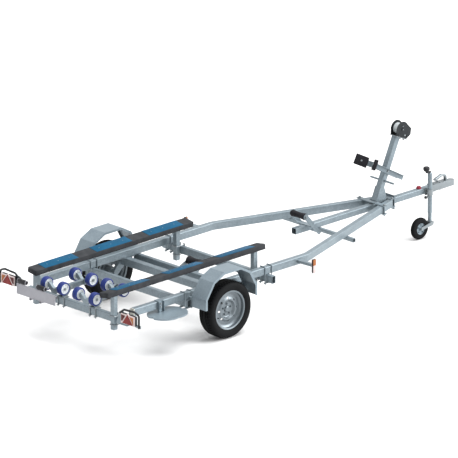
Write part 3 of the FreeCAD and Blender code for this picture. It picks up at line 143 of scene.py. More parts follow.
def zinc_finish(name, dark, light, spangle, roughness, metallic):
    """Crystals between a dark and a light grey; spangle is how many fit in a metre."""
    material, tree, shader = new_finish(name, light, metallic)
    crystals = object_pattern(tree, "ShaderNodeTexVoronoi", spangle)
    grain = tree.nodes.new("ShaderNodeSeparateColor")
    tree.links.new(crystals.outputs["Color"], grain.inputs["Color"])
    clouds = noise(tree, 7, 4)
    mix = tree.nodes.new("ShaderNodeMix")
    mix.inputs["Factor"].default_value = CRYSTAL_SHARE
    tree.links.new(clouds, mix.inputs["A"])
    tree.links.new(grain.outputs["Red"], mix.inputs["B"])
    tree.links.new(ramp(tree, mix.outputs["Result"], [(0.25, dark), (0.75, light)]), shader.inputs["Base Color"])
    tree.links.new(between(tree, mix.outputs["Result"], roughness - 0.08, roughness + 0.1),
                   shader.inputs["Roughness"])
    bump(tree, shader, noise(tree, 400, 2), 0.0002, 0.25)
    return material


finishes = {
    "galvanised": zinc_finish("galvanised_steel", (0.145, 0.180, 0.205), (0.205, 0.250, 0.276), 70, 0.42, 0.45),
    "sheet": zinc_finish("galvanised_sheet", (0.150, 0.192, 0.224), (0.195, 0.243, 0.274), 110, 0.36, 0.4),
    "zinc": zinc_finish("zinc_plated", (0.180, 0.204, 0.218), (0.255, 0.283, 0.297), 300, 0.33, 0.6),
    "rim_silver": zinc_finish("silver_paint", (0.11, 0.13, 0.145), (0.17, 0.20, 0.22), 500, 0.38, 0.5),
}
print(len(finishes), "zinc and silver finishes")


# %% [markdown]
# Rubber is nearly black and dull, and plastics are smoother with a clear gloss. Both are moulded, so one recipe of
# clouds and fine grain serves them all, and the numbers tell them apart.

# %% Rubber and plastic finishes
def moulded_finish(name, dark, light, roughness, gloss=0.5, grain=250, relief=0.0003):
    """Clouds from dark to light under a fine grain; gloss is the strength of the clear shine."""
    material, tree, shader = new_finish(name, light, 0, roughness)
    shader.inputs["Specular IOR Level"].default_value = gloss
    clouds = noise(tree, 12, 4)
    tree.links.new(ramp(tree, clouds, [(0.3, dark), (0.7, light)]), shader.inputs["Base Color"])
    tree.links.new(between(tree, clouds, roughness - 0.06, roughness + 0.08), shader.inputs["Roughness"])
    bump(tree, shader, noise(tree, grain), relief, 0.4)
    return material


finishes.update({slot: moulded_finish(*row) for slot, row in {
    "rubber_tyre": ("tyre_rubber", (0.003, 0.0034, 0.0038), (0.006, 0.0065, 0.0073), 0.7, 0.1),
    "black_rubber": ("black_rubber", (0.007, 0.007, 0.009), (0.013, 0.013, 0.016), 0.6, 0.15),
    "blue_rubber": ("blue_roller_rubber", (0.009, 0.020, 0.115), (0.015, 0.031, 0.165), 0.45, 0.25),
    "black_steel": ("black_painted_steel", (0.010, 0.013, 0.015), (0.018, 0.021, 0.024), 0.4, 0.2, 500, 0.0002),
    "grey_plastic": ("grey_plate_plastic", (0.25, 0.252, 0.28), (0.285, 0.287, 0.315), 0.5),
    "lens": ("red_lens", (0.17, 0.012, 0.025), (0.24, 0.018, 0.035), 0.35, 0.3),
    "amber_lens": ("amber_lens", (0.24, 0.075, 0.02), (0.32, 0.11, 0.03), 0.2, 0.3),
    "carpet": ("bunk_carpet", (0.028, 0.030, 0.033), (0.044, 0.046, 0.050), 0.95, 0.05, 900, 0.0008),
    "white_plastic": ("cream_cap_plastic", (0.48, 0.47, 0.42), (0.56, 0.55, 0.49), 0.45),
    "black_plastic": ("black_knob_plastic", (0.009, 0.009, 0.011), (0.017, 0.017, 0.020), 0.45, 0.25),
    "blue_strip": ("blue_strip_plastic", (0.0015, 0.050, 0.105), (0.003, 0.068, 0.140), 0.5, 0.1),
    "roller_white": ("roller_wheel_plastic", (0.50, 0.53, 0.55), (0.58, 0.61, 0.63), 0.4),
    "clear_lens": ("clear_lens", (0.46, 0.38, 0.37), (0.54, 0.45, 0.44), 0.25, 0.3),
    "reflector_red": ("reflector_red", (0.125, 0.009, 0.008), (0.18, 0.014, 0.012), 0.25, 0.25),
    "brake_red": ("brake_red", (0.055, 0.009, 0.009), (0.085, 0.013, 0.012), 0.2, 0.25),
    "strap_drum": ("strap_webbing", (0.30, 0.33, 0.34), (0.38, 0.41, 0.42), 0.8, 0.2),
}.items()})
print(len(finishes), "finishes in all")

# %% [markdown]
# Every CAD node takes the finish of its slot in the record, with three exceptions: the winch drum is black steel
# round the webbing, which is a piece of its own further down, and the jockey tubes are hot-dip galvanised.

# %% Dress the CAD nodes
slot_of = {row["node"]: row["material_slot"] for row in frame["record"]["subparts"]}
other_finish = {"winch_drum": "black_steel", "jockey_sleeve": "galvanised", "jockey_stem": "galvanised"}
for name, piece in nodes.items():
    piece.data.materials.clear()
    piece.data.materials.append(finishes[other_finish.get(name, slot_of[name])])
print("dressed", len(nodes), "nodes")


# %% [markdown]
# Each piece starts as a primitive at its real size and place and is shaped in edit mode. Operators act on all that
# is selected, so every helper clears the selection first and picks faces or edges by their place and direction.

# %% Helpers for modelling
SIDES = (("left", 1), ("right", -1))
UP, LEFT, AHEAD = Vector((0, 0, 1)), Vector((0, 1, 0)), Vector((1, 0, 0))
joint_at = {joint["name"]: Vector(joint["pos_m"]) for joint in frame["record"]["behaviour"]["joints"]
            if "pos_m" in joint}


def fresh(piece=None):
    """Leave edit mode and select nothing, or only one piece."""
    if bpy.context.object is not None and bpy.context.object.mode != "OBJECT":
        bpy.ops.object.mode_set(mode="OBJECT")
    bpy.ops.object.select_all(action="DESELECT")
    if piece is not None:
        piece.select_set(True)
        bpy.context.view_layer.objects.active = piece


def begin(name):
    """Name the primitive that was just added and open it for editing."""
    piece = bpy.context.object
    piece.name = name
    bpy.ops.object.transform_apply(location=True, rotation=True, scale=True)
    bpy.ops.object.mode_set(mode="EDIT")
    return piece


def mark(action, kind=None):
    """In edit mode, SELECT or DESELECT everything, and work on a kind of element if one is given."""
    if kind:
        bpy.ops.mesh.select_mode(type=kind)
    bpy.ops.mesh.select_all(action=action)


def pick(piece, kind, test):
    """In edit mode, select only what passes test(middle, way); an edge's way is its run, others' their normal."""
    mark("DESELECT", kind)
    mesh = bmesh.from_edit_mesh(piece.data)
    for item in {"FACE": mesh.faces, "EDGE": mesh.edges, "VERT": mesh.verts}[kind]:
        if kind == "FACE":
            middle, way = item.calc_center_median(), item.normal
        elif kind == "EDGE":
            start, end = (vert.co for vert in item.verts)
            middle, way = (start + end) / 2, (end - start).normalized()
        else:
            middle, way = item.co, item.normal
        if test(middle, way):
            item.select_set(True)
    bmesh.update_edit_mesh(piece.data)


def soften(width, segments=2, sharp=35):
    """Bevel every edge where the surface turns by more than an angle."""
    mark("DESELECT", "EDGE")
    bpy.ops.mesh.edges_select_sharp(sharpness=math.radians(sharp))
    bpy.ops.mesh.bevel(offset=width, segments=segments, affect="EDGES", clamp_overlap=True)


def press(piece, depth, border, test):
    """Pick faces, inset them by a border and push them in by a depth, or pull them out if it is negative."""
    pick(piece, "FACE", test)
    if border:
        bpy.ops.mesh.inset(thickness=border, use_individual=False)
    bpy.ops.mesh.extrude_region_shrink_fatten(TRANSFORM_OT_shrink_fatten={"value": -depth})


def block(name, low, high, soft=0.001, segments=2):
    """A block between two corners with softened edges."""
    fresh()
    low, high = Vector(low), Vector(high)
    bpy.ops.mesh.primitive_cube_add(size=1, location=(low + high) / 2, scale=high - low)
    piece = begin(name)
    soften(soft, segments)
    return piece


def rod(name, start, end, radius, sides, soft=0.001):
    """A round bar, or a hexagon with 6 sides, between two places, with softened rims."""
    fresh()
    start, run = Vector(start), Vector(end) - Vector(start)
    bpy.ops.mesh.primitive_cylinder_add(vertices=sides, radius=radius, depth=run.length, location=start + run / 2,
                                        rotation=run.to_track_quat("Z", "Y").to_euler())
    piece = begin(name)
    soften(soft, 1, 50)
    return piece


AXES = {"X": (AHEAD, UP), "Y": (LEFT, UP), "Z": (UP, AHEAD)}


def turned(name, outline, middle=(0, 0, 0), axis="Y", steps=64):
    """Walk one point along an outline of (along, out) pairs, then spin the line round the axis."""
    fresh()
    along, out = AXES[axis]
    bpy.ops.mesh.primitive_plane_add(size=0.01)
    piece = begin(name)
    mark("SELECT", "VERT")
    bpy.ops.mesh.merge(type="CENTER")
    places = [Vector(middle) + along * a + out * r for a, r in outline]
    bpy.ops.transform.translate(value=places[0])
    for here, there in zip(places, places[1:]):
        bpy.ops.mesh.extrude_vertices_move(TRANSFORM_OT_translate={"value": there - here})
    mark("SELECT")
    bpy.ops.mesh.spin(steps=steps, angle=math.tau, center=middle, axis=along)
    mark("SELECT")
    bpy.ops.mesh.remove_doubles(threshold=0.00002)
    bpy.ops.mesh.normals_make_consistent(inside=False)
    return piece


def ring(half):
    """A closed section for turned(), from its right half: that half mirrored, then itself backwards."""
    line = [(-along, out) for along, out in half] + half[::-1]
    return line + line[:1]


def from_cad(name, node):
    """An own piece that starts as a merged copy of a CAD node, with its flat areas joined into single faces."""
    piece = bpy.data.objects.new(name, nodes[node].data.copy())
    bpy.context.scene.collection.objects.link(piece)
    fresh(piece)
    bpy.ops.mesh.customdata_custom_splitnormals_clear()
    bpy.ops.object.mode_set(mode="EDIT")
    mark("SELECT")
    bpy.ops.mesh.remove_doubles(threshold=0.00001)
    bpy.ops.mesh.dissolve_limited(angle_limit=math.radians(1.5))
    return piece


def copied(piece, name, move):
    """A moved copy with its own mesh."""
    fresh()
    twin = piece.copy()
    twin.data = piece.data.copy()
    twin.name = name
    bpy.context.scene.collection.objects.link(twin)
    twin.data.transform(Matrix.Translation(move))
    return twin


def joined(pieces, name):
    """Join several pieces into one."""
    fresh(pieces[0])
    for piece in pieces:
        piece.select_set(True)
    bpy.ops.object.join()
    pieces[0].name = name
    return pieces[0]


def hand_over(piece, finish, body="chassis", replaced=(), smooth=40):
    """Smooth the round faces, give the piece its finish and let it ride on a body."""
    fresh(piece)
    bpy.ops.object.shade_smooth_by_angle(angle=math.radians(smooth))
    piece.data.name = piece.name
    piece.data.materials.clear()
    piece.data.materials.append(finishes[finish])
    if replaced:
        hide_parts(*replaced)
    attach(piece, body)


print("modelling helpers ready;", len(joint_at), "joints have a place")


# %% [markdown]
# A bunk is a timber plank wrapped in carpet. The wrap rounds its edges, is folded over the ends and never lies
# quite flat, so the plank's plain CAD solid is copied, rounded, cut into short lengths and made slightly uneven.

# %% Carpeted bunks
felt = bpy.data.textures.new("felt_unevenness", "CLOUDS")
felt.noise_scale = 0.06
for side in ("left", "right"):
    bunk = from_cad("bunk_carpet_" + side, "bunk_" + side)
    soften(0.007, 3)
    pick(bunk, "EDGE", lambda middle, run: abs(run.x) > 0.99)
    bpy.ops.mesh.subdivide(number_cuts=54)
    low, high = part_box("bunk_" + side)
    for end in (low[0], high[0]):
        press(bunk, -0.0018, 0.009, lambda middle, normal: abs(middle.x - end) < 0.001 and abs(normal.x) > 0.9)
    fresh(bunk)
    ruffle = bunk.modifiers.new("ruffle", "DISPLACE")
    ruffle.texture = felt
    ruffle.texture_coords = "LOCAL"
    ruffle.strength = 0.0022
    bpy.ops.object.modifier_apply(modifier="ruffle")
    hand_over(bunk, "carpet", "chassis", ["bunk_" + side])
print("bunk length", round(high[0] - low[0], 3), "m")


# %% [markdown]
# The sliding strips are flat plastic with rounded edges, held by sunk screws. Their places come from the merged
# CAD copy: each of its six top faces gives a middle, a length and a way up.

# %% Sliding strips and their screws
strips = from_cad("sliding_strips", "bunk_strips")
tops = [(face.calc_center_median(), face.normal.copy(), max(edge.calc_length() for edge in face.edges))
        for face in bmesh.from_edit_mesh(strips.data).faces if face.normal.z > 0.9]
soften(0.0012)
hand_over(strips, "blue_strip", "chassis", ["bunk_strips"])

SCREW_PITCH = 0.16
screws = []
for middle, up, long in tops:
    count = round(long / SCREW_PITCH)
    for k in range(count):
        head = middle + Vector((long * ((k + 0.5) / count - 0.5), 0, 0))
        screw = rod("strip_screw", head - up * 0.002, head + up * 0.0007, 0.0048, 12, 0.0004)
        press(screw, 0.0012, 0.0024, lambda place, normal: normal.dot(up) > 0.9)
        screws.append(screw)
hand_over(joined(screws, "strip_screws"), "zinc")
print(len(tops), "strips,", len(screws), "screws")


# %% [markdown]
# A road tyre is a solid of revolution until the tread is cut. Its section is drawn from bead to bead with the
# circumferential grooves in it and spun; then every third face of the shoulders and of the outer ribs is pressed
# in, which leaves blocks. One tyre is modelled about the origin and copied to each wheel.

# %% Road tyres
TYRE_STEPS = 168
TREAD = [(0.0925, 0.250), (0.0918, 0.262), (0.0890, 0.273), (0.0835, 0.2815), (0.0770, 0.2875), (0.0700, 0.2918),
         (0.0590, 0.2948), (0.0535, 0.2955), (0.0525, 0.2885), (0.0475, 0.2885), (0.0465, 0.2962), (0.0255, 0.2974),
         (0.0245, 0.2900), (0.0185, 0.2900), (0.0175, 0.2978), (0.0060, 0.2980)]
SIDE_WALL = [(0.050, 0.1934), (0.0695, 0.1934), (0.0705, 0.206), (0.0770, 0.2095), (0.0800, 0.2095), (0.0835, 0.2150),
             (0.0875, 0.2240), (0.0878, 0.2265), (0.0890, 0.2268), (0.0912, 0.2370)]
LINING = [(0.0625, 0.2740), (0.0795, 0.2430), (0.0560, 0.2070)]
tyre = turned("road_tyre", ring(LINING + SIDE_WALL + TREAD), steps=TYRE_STEPS)


def sector(place, steps):
    """Which step of a spin round Y a place lies in."""
    return int((math.atan2(place.z, place.x) % math.tau) / math.tau * steps + 0.001)


press(tyre, 0.005, 0, lambda place, normal: place.xz.length > 0.2890 and 0.0540 < abs(place.y) < 0.0775
      and sector(place, TYRE_STEPS) % 3 == 0)
press(tyre, 0.004, 0, lambda place, normal: place.xz.length > 0.2960 and 0.026 < abs(place.y) < 0.046
      and normal.dot(Vector((place.x, 0, place.z)).normalized()) > 0.9 and sector(place, TYRE_STEPS) % 3 == 1)
for side in ("left", "right"):
    twin = copied(tyre, "tyre_tread_" + side, joint_at["wheel_%s_spin" % side])
    hand_over(twin, "rubber_tyre", "wheel_" + side, ["tyre_" + side], 32)
bpy.data.objects.remove(tyre)
print("road tyre", round(2 * TREAD[-1][1], 3), "m across,", len(twin.data.polygons), "faces")


# %% [markdown]
# Each rim carries a rubber valve with a cap, which leans out through the barrel towards the outer side.

# %% Tyre valves
VALVE_AT = math.radians(200)
lean = Vector((math.cos(VALVE_AT), 0, math.sin(VALVE_AT)))
for side, way in SIDES:
    hub = joint_at["wheel_%s_spin" % side]
    root, tip = (hub + lean * out + LEFT * way * aside for out, aside in ((0.171, 0.030), (0.160, 0.066)))
    stem = rod("valve_stem", root, tip, 0.004, 16, 0.0008)
    foot = rod("valve_foot", root, root.lerp(tip, 0.3), 0.007, 16, 0.0015)
    cap = rod("valve_cap", root.lerp(tip, 0.7), root.lerp(tip, 1.05), 0.005, 12, 0.0012)
    hand_over(joined([stem, foot, cap], "tyre_valve_" + side), "black_rubber", "wheel_" + side)
print("two tyre valves")


# %% [markdown]
# A cradle roller is a soft blue tread on a hard white wheel. The tread is spun with two grooves. The wheel is
# spun with a recessed web on both faces, and six pairs of web faces are pressed in to give its radial slots.

# %% Cradle rollers
ROLLER_STEPS = 48
tread_half = [(0.0290, 0.0520), (0.0290, 0.0625), (0.0268, 0.0664), (0.0215, 0.0684), (0.0120, 0.0690),
              (0.0112, 0.0668), (0.0080, 0.0668), (0.0072, 0.0690), (0.0020, 0.0690)]
wheel_half = [(0.0268, 0.01115), (0.0268, 0.0185), (0.0225, 0.0200), (0.0225, 0.0440), (0.0282, 0.0462),
              (0.0282, 0.0520)]
tread = turned("roller_tread", ring(tread_half), steps=ROLLER_STEPS)
wheel = turned("roller_wheel", ring(wheel_half), steps=ROLLER_STEPS)
press(wheel, 0.010, 0.0022, lambda place, normal: abs(normal.y) > 0.9 and 0.020 < place.xz.length < 0.044
      and sector(place, ROLLER_STEPS) % 8 in (0, 1))
for side, way in SIDES:
    for end in ("rear", "front"):
        body = "rollers_%s_%s" % (end, side)
        middle = joint_at[body + "_spin"]
        low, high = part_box(body)
        reach = (high[1] - low[1]) / 2 - 0.029
        for finish, name, part in (("blue_rubber", "tread", tread), ("roller_white", "wheel", wheel)):
            pair = [copied(part, "roller_" + name, middle + LEFT * step * reach) for step in (-1, 1)]
            pair = joined(pair, "roller_%s_%s_%s" % (name, end, side))
            hand_over(pair, finish, body, [body] if name == "tread" else (), 35)
for part in (tread, wheel):
    bpy.data.objects.remove(part)
print("four roller pairs,", round(2 * reach, 3), "m between their middles")


# %% [markdown]
# Plain washers and nuts hold the rollers on their spindles. A nut is a six-sided bar with its corners softened.

# %% Spindle nuts
for side in ("left", "right"):
    nuts = []
    for end in ("rear", "front"):
        middle = joint_at["rollers_%s_%s_spin" % (end, side)]
        for way in (-1, 1):
            out = LEFT * way
            face = middle + out * (reach + 0.0292)
            nuts.append(rod("washer", face, face + out * 0.0022, 0.0165, 24, 0.0005))
            nuts.append(rod("nut", face + out * 0.0022, face + out * 0.0102, 0.0125, 6, 0.0012))
    hand_over(joined(nuts, "spindle_nuts_" + side), "zinc", "rocker_" + side, smooth=25)
print(2 * len(nuts), "washers and nuts")


# %% [markdown]
# The keel rollers are turned rubber, waisted so that the keel finds the middle, with shallow ribs that grip it.
# The waist is a smooth dip of the radius along the roller, and each rib is two short steps on it.

# %% Keel rollers
RIBS, PLAIN_END, WAIST, SPINDLE_BORE = 7, 0.020, 0.18, 0.0102
for where in ("middle", "front"):
    name = "keel_roller_" + where
    low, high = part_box(name)
    half, radius = (high[1] - low[1]) / 2, (high[2] - low[2]) / 2
    rim = [(half, SPINDLE_BORE), (half, radius * 0.72), (half - 0.004, radius - 0.008),
           (half - 0.010, radius - 0.002), (half - 0.016, radius)]
    line = [(-along, out) for along, out in rim]
    wide = (2 * half - 2 * PLAIN_END) / RIBS
    for k in range(RIBS):
        for along, step in ((0.0, 0), (0.12, -0.003), (0.30, -0.003), (0.42, 0), (0.85, 0)):
            place = PLAIN_END - half + wide * (k + along)
            waist = 1 - WAIST * (1 - min(1.0, (abs(place) / (half * 0.85)) ** 2))
            line.append((place, radius * waist + step))
    line += rim[::-1]
    roller = turned(name + "_rubber", line + line[:1], joint_at[name + "_spin"], steps=48)
    hand_over(roller, "black_rubber", name, [name], 35)
    print(name, round(2 * half, 3), "m long")


# %% [markdown]
# A tail lamp is one moulding: a dark housing, a pale clear base lens, and on it a deep red reflector triangle
# with its point up and two coloured panels, brake red on the inner side and amber on the outer side. All are flat
# outlines in the lamp's face, so each is drawn as one polygon and pulled forwards from its back.

# %% Tail lamps
lamp_low, lamp_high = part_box("tail_lamps")
LAMP_WIDE = 0.200
FACE = lamp_low[0]


def slab(name, back, front, corners, soft, plane="YZ"):
    """A flat polygon in a plane, pulled across from its back to its front, with softened edges."""
    fresh()
    bpy.ops.mesh.primitive_circle_add(vertices=len(corners), radius=0.05, fill_type="NGON", location=(0, 0, 0))
    piece = begin(name)
    mesh = bmesh.from_edit_mesh(piece.data)
    for vert, (across, up) in zip(mesh.verts, corners):
        vert.co = Vector((back, across, up) if plane == "YZ" else (across, back, up))
    bmesh.update_edit_mesh(piece.data)
    mark("SELECT")
    pull = Vector((front - back, 0, 0)) if plane == "YZ" else Vector((0, front - back, 0))
    bpy.ops.mesh.extrude_region_move(TRANSFORM_OT_translate={"value": pull})
    mark("SELECT")
    bpy.ops.mesh.normals_make_consistent(inside=False)
    soften(soft)
    return piece


outer = max(abs(lamp_low[1]), abs(lamp_high[1]))
inner, middle = outer - LAMP_WIDE, outer - LAMP_WIDE / 2
low, high = lamp_low[2], lamp_high[2]
foot_in, foot_out = inner + 0.028, outer - 0.022
# what, back, front, softness, finish, slot, corners from the trailer's middle outwards
LAMP_PARTS = [
    ("housing", lamp_high[0], FACE + 0.016, 0.006, "black_plastic", None,
     [(inner, low), (outer, low), (outer, high), (inner, high)]),
    ("base_lens", FACE + 0.0165, FACE + 0.004, 0.003, "clear_lens", "lens",
     [(inner + 0.002, low + 0.002), (outer - 0.002, low + 0.002), (outer - 0.002, high - 0.002),
      (middle + 0.022, high - 0.002), (middle, high + 0.014), (middle - 0.022, high - 0.002),
      (inner + 0.002, high - 0.002)]),
    ("triangle", FACE + 0.0045, FACE, 0.0015, "reflector_red", "lens",
     [(foot_in, low + 0.007), (foot_out, low + 0.007), (middle, high + 0.004)]),
    ("brake_panel", FACE + 0.0045, FACE + 0.001, 0.002, "brake_red", "lens",
     [(inner + 0.009, low + 0.024), (foot_in, low + 0.030), (middle - 0.030, high - 0.014),
      (inner + 0.009, high - 0.012)]),
    ("amber_panel", FACE + 0.0045, FACE + 0.001, 0.002, "amber_lens", None,
     [(outer - 0.026, low + 0.024), (outer - 0.016, low + 0.018), (outer - 0.016, high - 0.014),
      (middle + 0.028, high - 0.012)]),
]
for side, way in SIDES:
    for part, back, front, soft, finish, slot, corners in LAMP_PARTS:
        piece = slab("lamp_%s_%s" % (part, side), back, front, [(way * across, up) for across, up in corners], soft)
        if part == "triangle":
            press(piece, 0.0012, 0.004, lambda place, normal: normal.x < -0.9)
        hand_over(piece, finish, "chassis", ["tail_lamps"] if part == "housing" and way > 0 else ())
print("two tail lamps,", LAMP_WIDE, "m wide")


# %% [markdown]
# The plate lamps are black mouldings that clip over the holder's two bars and light the board from above through
# a small clear window underneath. Their rounded ends make spinning the quick way to shape them.

# %% Plate lamps
plate_low, plate_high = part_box("number_plate_holder")
lamp_up = plate_high[2] - 0.022
lamp_line = plate_low[0] + 0.022
plate_left = (plate_low[1] + plate_high[1]) / 2
for k, left in enumerate((plate_left - 0.060, plate_left + 0.215)):
    half = 0.0625
    outline = [(-half, 0), (-half, 0.014), (-half + 0.004, 0.0205), (-half + 0.010, 0.0238), (half - 0.010, 0.0238),
               (half - 0.004, 0.0205), (half, 0.014), (half, 0)]
    case = turned("plate_lamp_%d" % k, outline, (lamp_line, left, lamp_up), steps=32)
    press(case, 0.003, 0.005, lambda place, normal: abs(normal.y) < 0.3 and normal.z < -0.7
          and abs(place.y - left) < 0.06)
    hand_over(case, "black_plastic", smooth=35)
    window = block("plate_lamp_window_%d" % k, (lamp_line - 0.010, left - 0.045, lamp_up - 0.0225),
                   (lamp_line + 0.010, left + 0.045, lamp_up - 0.0195))
    hand_over(window, "clear_lens")
print("plate lamps at height", round(lamp_up, 3), "m")


# %% [markdown]
# The side marker is a small upright lamp with an amber upper half over a white lower half in a black tray.

# %% Side marker lamps
marker_low, marker_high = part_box("marker_lamps")
marker_out = max(abs(marker_low[1]), abs(marker_high[1])) - 0.014
split = marker_low[2] + 0.55 * (marker_high[2] - marker_low[2])
for side, way in SIDES:
    left = way * marker_out
    tray = block("marker_tray_" + side, (marker_low[0], left - 0.008, marker_low[2]),
                 (marker_high[0], left + 0.008, marker_high[2]), 0.006, 3)
    hand_over(tray, "black_plastic", "chassis", ["marker_lamps"] if way > 0 else ())
    for name, finish, low, high in (("white", "clear_lens", marker_low[2] + 0.004, split),
                                    ("amber", "amber_lens", split, marker_high[2] - 0.004)):
        for k, face in enumerate((-1, 1)):
            near, far = sorted((left + face * 0.0085, left + face * 0.014))
            lens = block("marker_%s_%s_%d" % (name, side, k), (marker_low[0] + 0.003, near, low),
                         (marker_high[0] - 0.003, far, high), 0.003, 3)
            hand_over(lens, finish)
print("markers", round(2 * marker_out, 3), "m apart")


# %% [markdown]
# The bow pads are thick rubber blocks, each held by one bolt through its middle. They start from the CAD pads, and
# the biggest face of each says where the bolt goes.

# %% Bow pads
pads = from_cad("bow_pads_rubber", "bow_stop_pads")
faces = sorted(bmesh.from_edit_mesh(pads.data).faces, key=lambda face: -face.calc_area())
fronts = [(face.calc_center_median(), face.normal.copy()) for face in faces[:4] if face.normal.x < 0]
soften(0.005, 3)
hand_over(pads, "black_rubber", "chassis", ["bow_stop_pads"])
bolts = []
for middle, out in fronts:
    bolts.append(rod("pad_washer", middle - out * 0.002, middle + out * 0.0012, 0.0095, 24, 0.0005))
    bolts.append(rod("pad_bolt", middle, middle + out * 0.005, 0.006, 6, 0.0008))
hand_over(joined(bolts, "bow_pad_bolts"), "zinc", smooth=25)
print(len(fronts), "bow pads bolted")


# %% [markdown]
# Winch webbing is wound flat on its drum, so the roll is a short barrel whose surface waves a little from layer to
# layer. It is spun about the drum's joint. The winch leans with its post, so the places of its nuts are written
# along and out from the post's top, which is found back from the drum's joint.

# %% Winch webbing and nuts
drum = joint_at["winch_drum_turn"]
handle = joint_at["winch_handle_turn"]
post_lean = math.radians(24.8)
post_up = Vector((math.sin(post_lean), 0, math.cos(post_lean)))
post_out = Vector((math.cos(post_lean), 0, -math.sin(post_lean)))
post_top = drum - post_up * 0.082 - post_out * 0.014


def at_winch(up, out, left=0.0):
    return post_top + post_up * up + post_out * out + LEFT * left


ROLL_HALF, ROLL_RADIUS, LAYERS = 0.0335, 0.0568, 12
line = [(-ROLL_HALF, 0.050)]
for k in range(LAYERS + 1):
    line.append((ROLL_HALF * (2 * k / LAYERS - 1), ROLL_RADIUS - 0.0006 * (k % 2)))
line.append((ROLL_HALF, 0.050))
webbing = turned("winch_webbing", line + line[:1], drum)
hand_over(webbing, "strap_drum", "winch_drum", smooth=60)
nuts, dark_nuts = [], []
for up, out, face, radius in ((0.082, 0.014, 0.0522, 0.0065), (0.114, 0.005, 0.0452, 0.0060),
                              (0.020, -0.020, 0.0452, 0.0085), (0.030, 0.110, 0.0452, 0.0085)):
    for way in (-1, 1):
        here = at_winch(up, out, way * face)
        one = rod("winch_nut", here, here + LEFT * way * 0.006, radius, 6, 0.0008)
        (nuts if radius < 0.007 else dark_nuts).append(one)
hand_over(joined(nuts, "winch_nuts"), "zinc", smooth=25)
hand_over(joined(dark_nuts, "winch_dark_nuts"), "black_steel", smooth=25)
print("webbing roll", round(2 * ROLL_RADIUS, 3), "m across")


# %% [markdown]
# The jockey wheel is a pressed disc with a solid rubber tyre. Both are spun round the wheel's own joint. The tyre
# has three ribs and a lip that laps over the disc's edge, and five windows are pressed into each face of the disc.

# %% Jockey tyre and disc
jockey_at = joint_at["jockey_wheel_spin"]
ribbed = [(0.0231, 0.0692), (0.0233, 0.0600), (0.0247, 0.0592), (0.0256, 0.0700), (0.0255, 0.0810), (0.0240, 0.0960),
          (0.0215, 0.1040), (0.0175, 0.1100), (0.0125, 0.1125), (0.0110, 0.1098), (0.0085, 0.1098), (0.0070, 0.1145),
          (0.0, 0.1150)]
rubber = turned("jockey_tyre_rubber", ring(ribbed), jockey_at, steps=72)
hand_over(rubber, "rubber_tyre", "jockey_wheel", ["jockey_tyre"], 35)
DISC_STEPS = 40
disc_half = [(0.0250, 0.00905), (0.0250, 0.0200), (0.0170, 0.0240), (0.0170, 0.0330), (0.0170, 0.0500),
             (0.0172, 0.0590), (0.0230, 0.0690)]
disc = turned("jockey_disc_pressing", ring(disc_half), jockey_at, steps=DISC_STEPS)
press(disc, 0.011, 0.0012, lambda place, normal: abs(normal.y) > 0.9
      and 0.034 < (place - jockey_at).xz.length < 0.049 and sector(place - jockey_at, DISC_STEPS) % 8 in (0, 1, 2))
hand_over(disc, "sheet", "jockey_wheel", ["jockey_disc"], 35)
print("jockey tyre", len(rubber.data.polygons), "faces, disc", len(disc.data.polygons))


# %% [markdown]
# Round bar bent cold, such as a U-bolt, keeps its section round every corner. So a disc is extruded along each
# straight run and spun round each corner, the way a bender works. A nut is a six-sided bar on its washer. Places
# along the trailer are written from the wheels' axle.

# %% Helpers for bent bar and nuts
axle_x = joint_at["wheel_left_spin"].x


def from_axle(ahead, left, up):
    return Vector((axle_x + ahead, left, up))


def bent_bar(name, radius, corners, bend, sides=12):
    """A round bar through a row of places, bent to a radius at each one between its ends."""
    fresh()
    run = (corners[1] - corners[0]).normalized()
    bpy.ops.mesh.primitive_circle_add(vertices=sides, radius=radius, fill_type="NGON", location=corners[0],
                                      rotation=run.to_track_quat("Z", "Y").to_euler())
    piece = begin(name)
    mark("SELECT", "FACE")
    here = corners[0]
    for corner, following in zip(corners[1:], corners[2:]):
        after = (following - corner).normalized()
        turn = run.angle(after)
        cut = bend * math.tan(turn / 2)
        start = corner - run * cut
        bpy.ops.mesh.extrude_region_move(TRANSFORM_OT_translate={"value": start - here})
        axis = run.cross(after).normalized()
        bpy.ops.mesh.spin(steps=5, angle=-turn, center=start + axis.cross(run) * bend, axis=axis)
        here, run = corner + after * cut, after
    bpy.ops.mesh.extrude_region_move(TRANSFORM_OT_translate={"value": corners[-1] - here})
    mark("SELECT")
    bpy.ops.mesh.normals_make_consistent(inside=False)
    return piece


def nut(face, out, radius, tall):
    """A washer and a hexagon nut that stand on a face."""
    seat = face + out * 0.002
    return [rod("washer", face, seat, radius * 1.3, 20, 0.0004),
            rod("nut", seat, seat + out * tall, radius, 6, radius * 0.1)]


print("the axle is at", round(axle_x, 3), "m")


# %% [markdown]
# Two U-bolts, one over and one under the cross member, clamp each bunk post to it, so that its height can be set.
# Their legs end in nuts on two upright straps. One set is made and copied to all four posts.

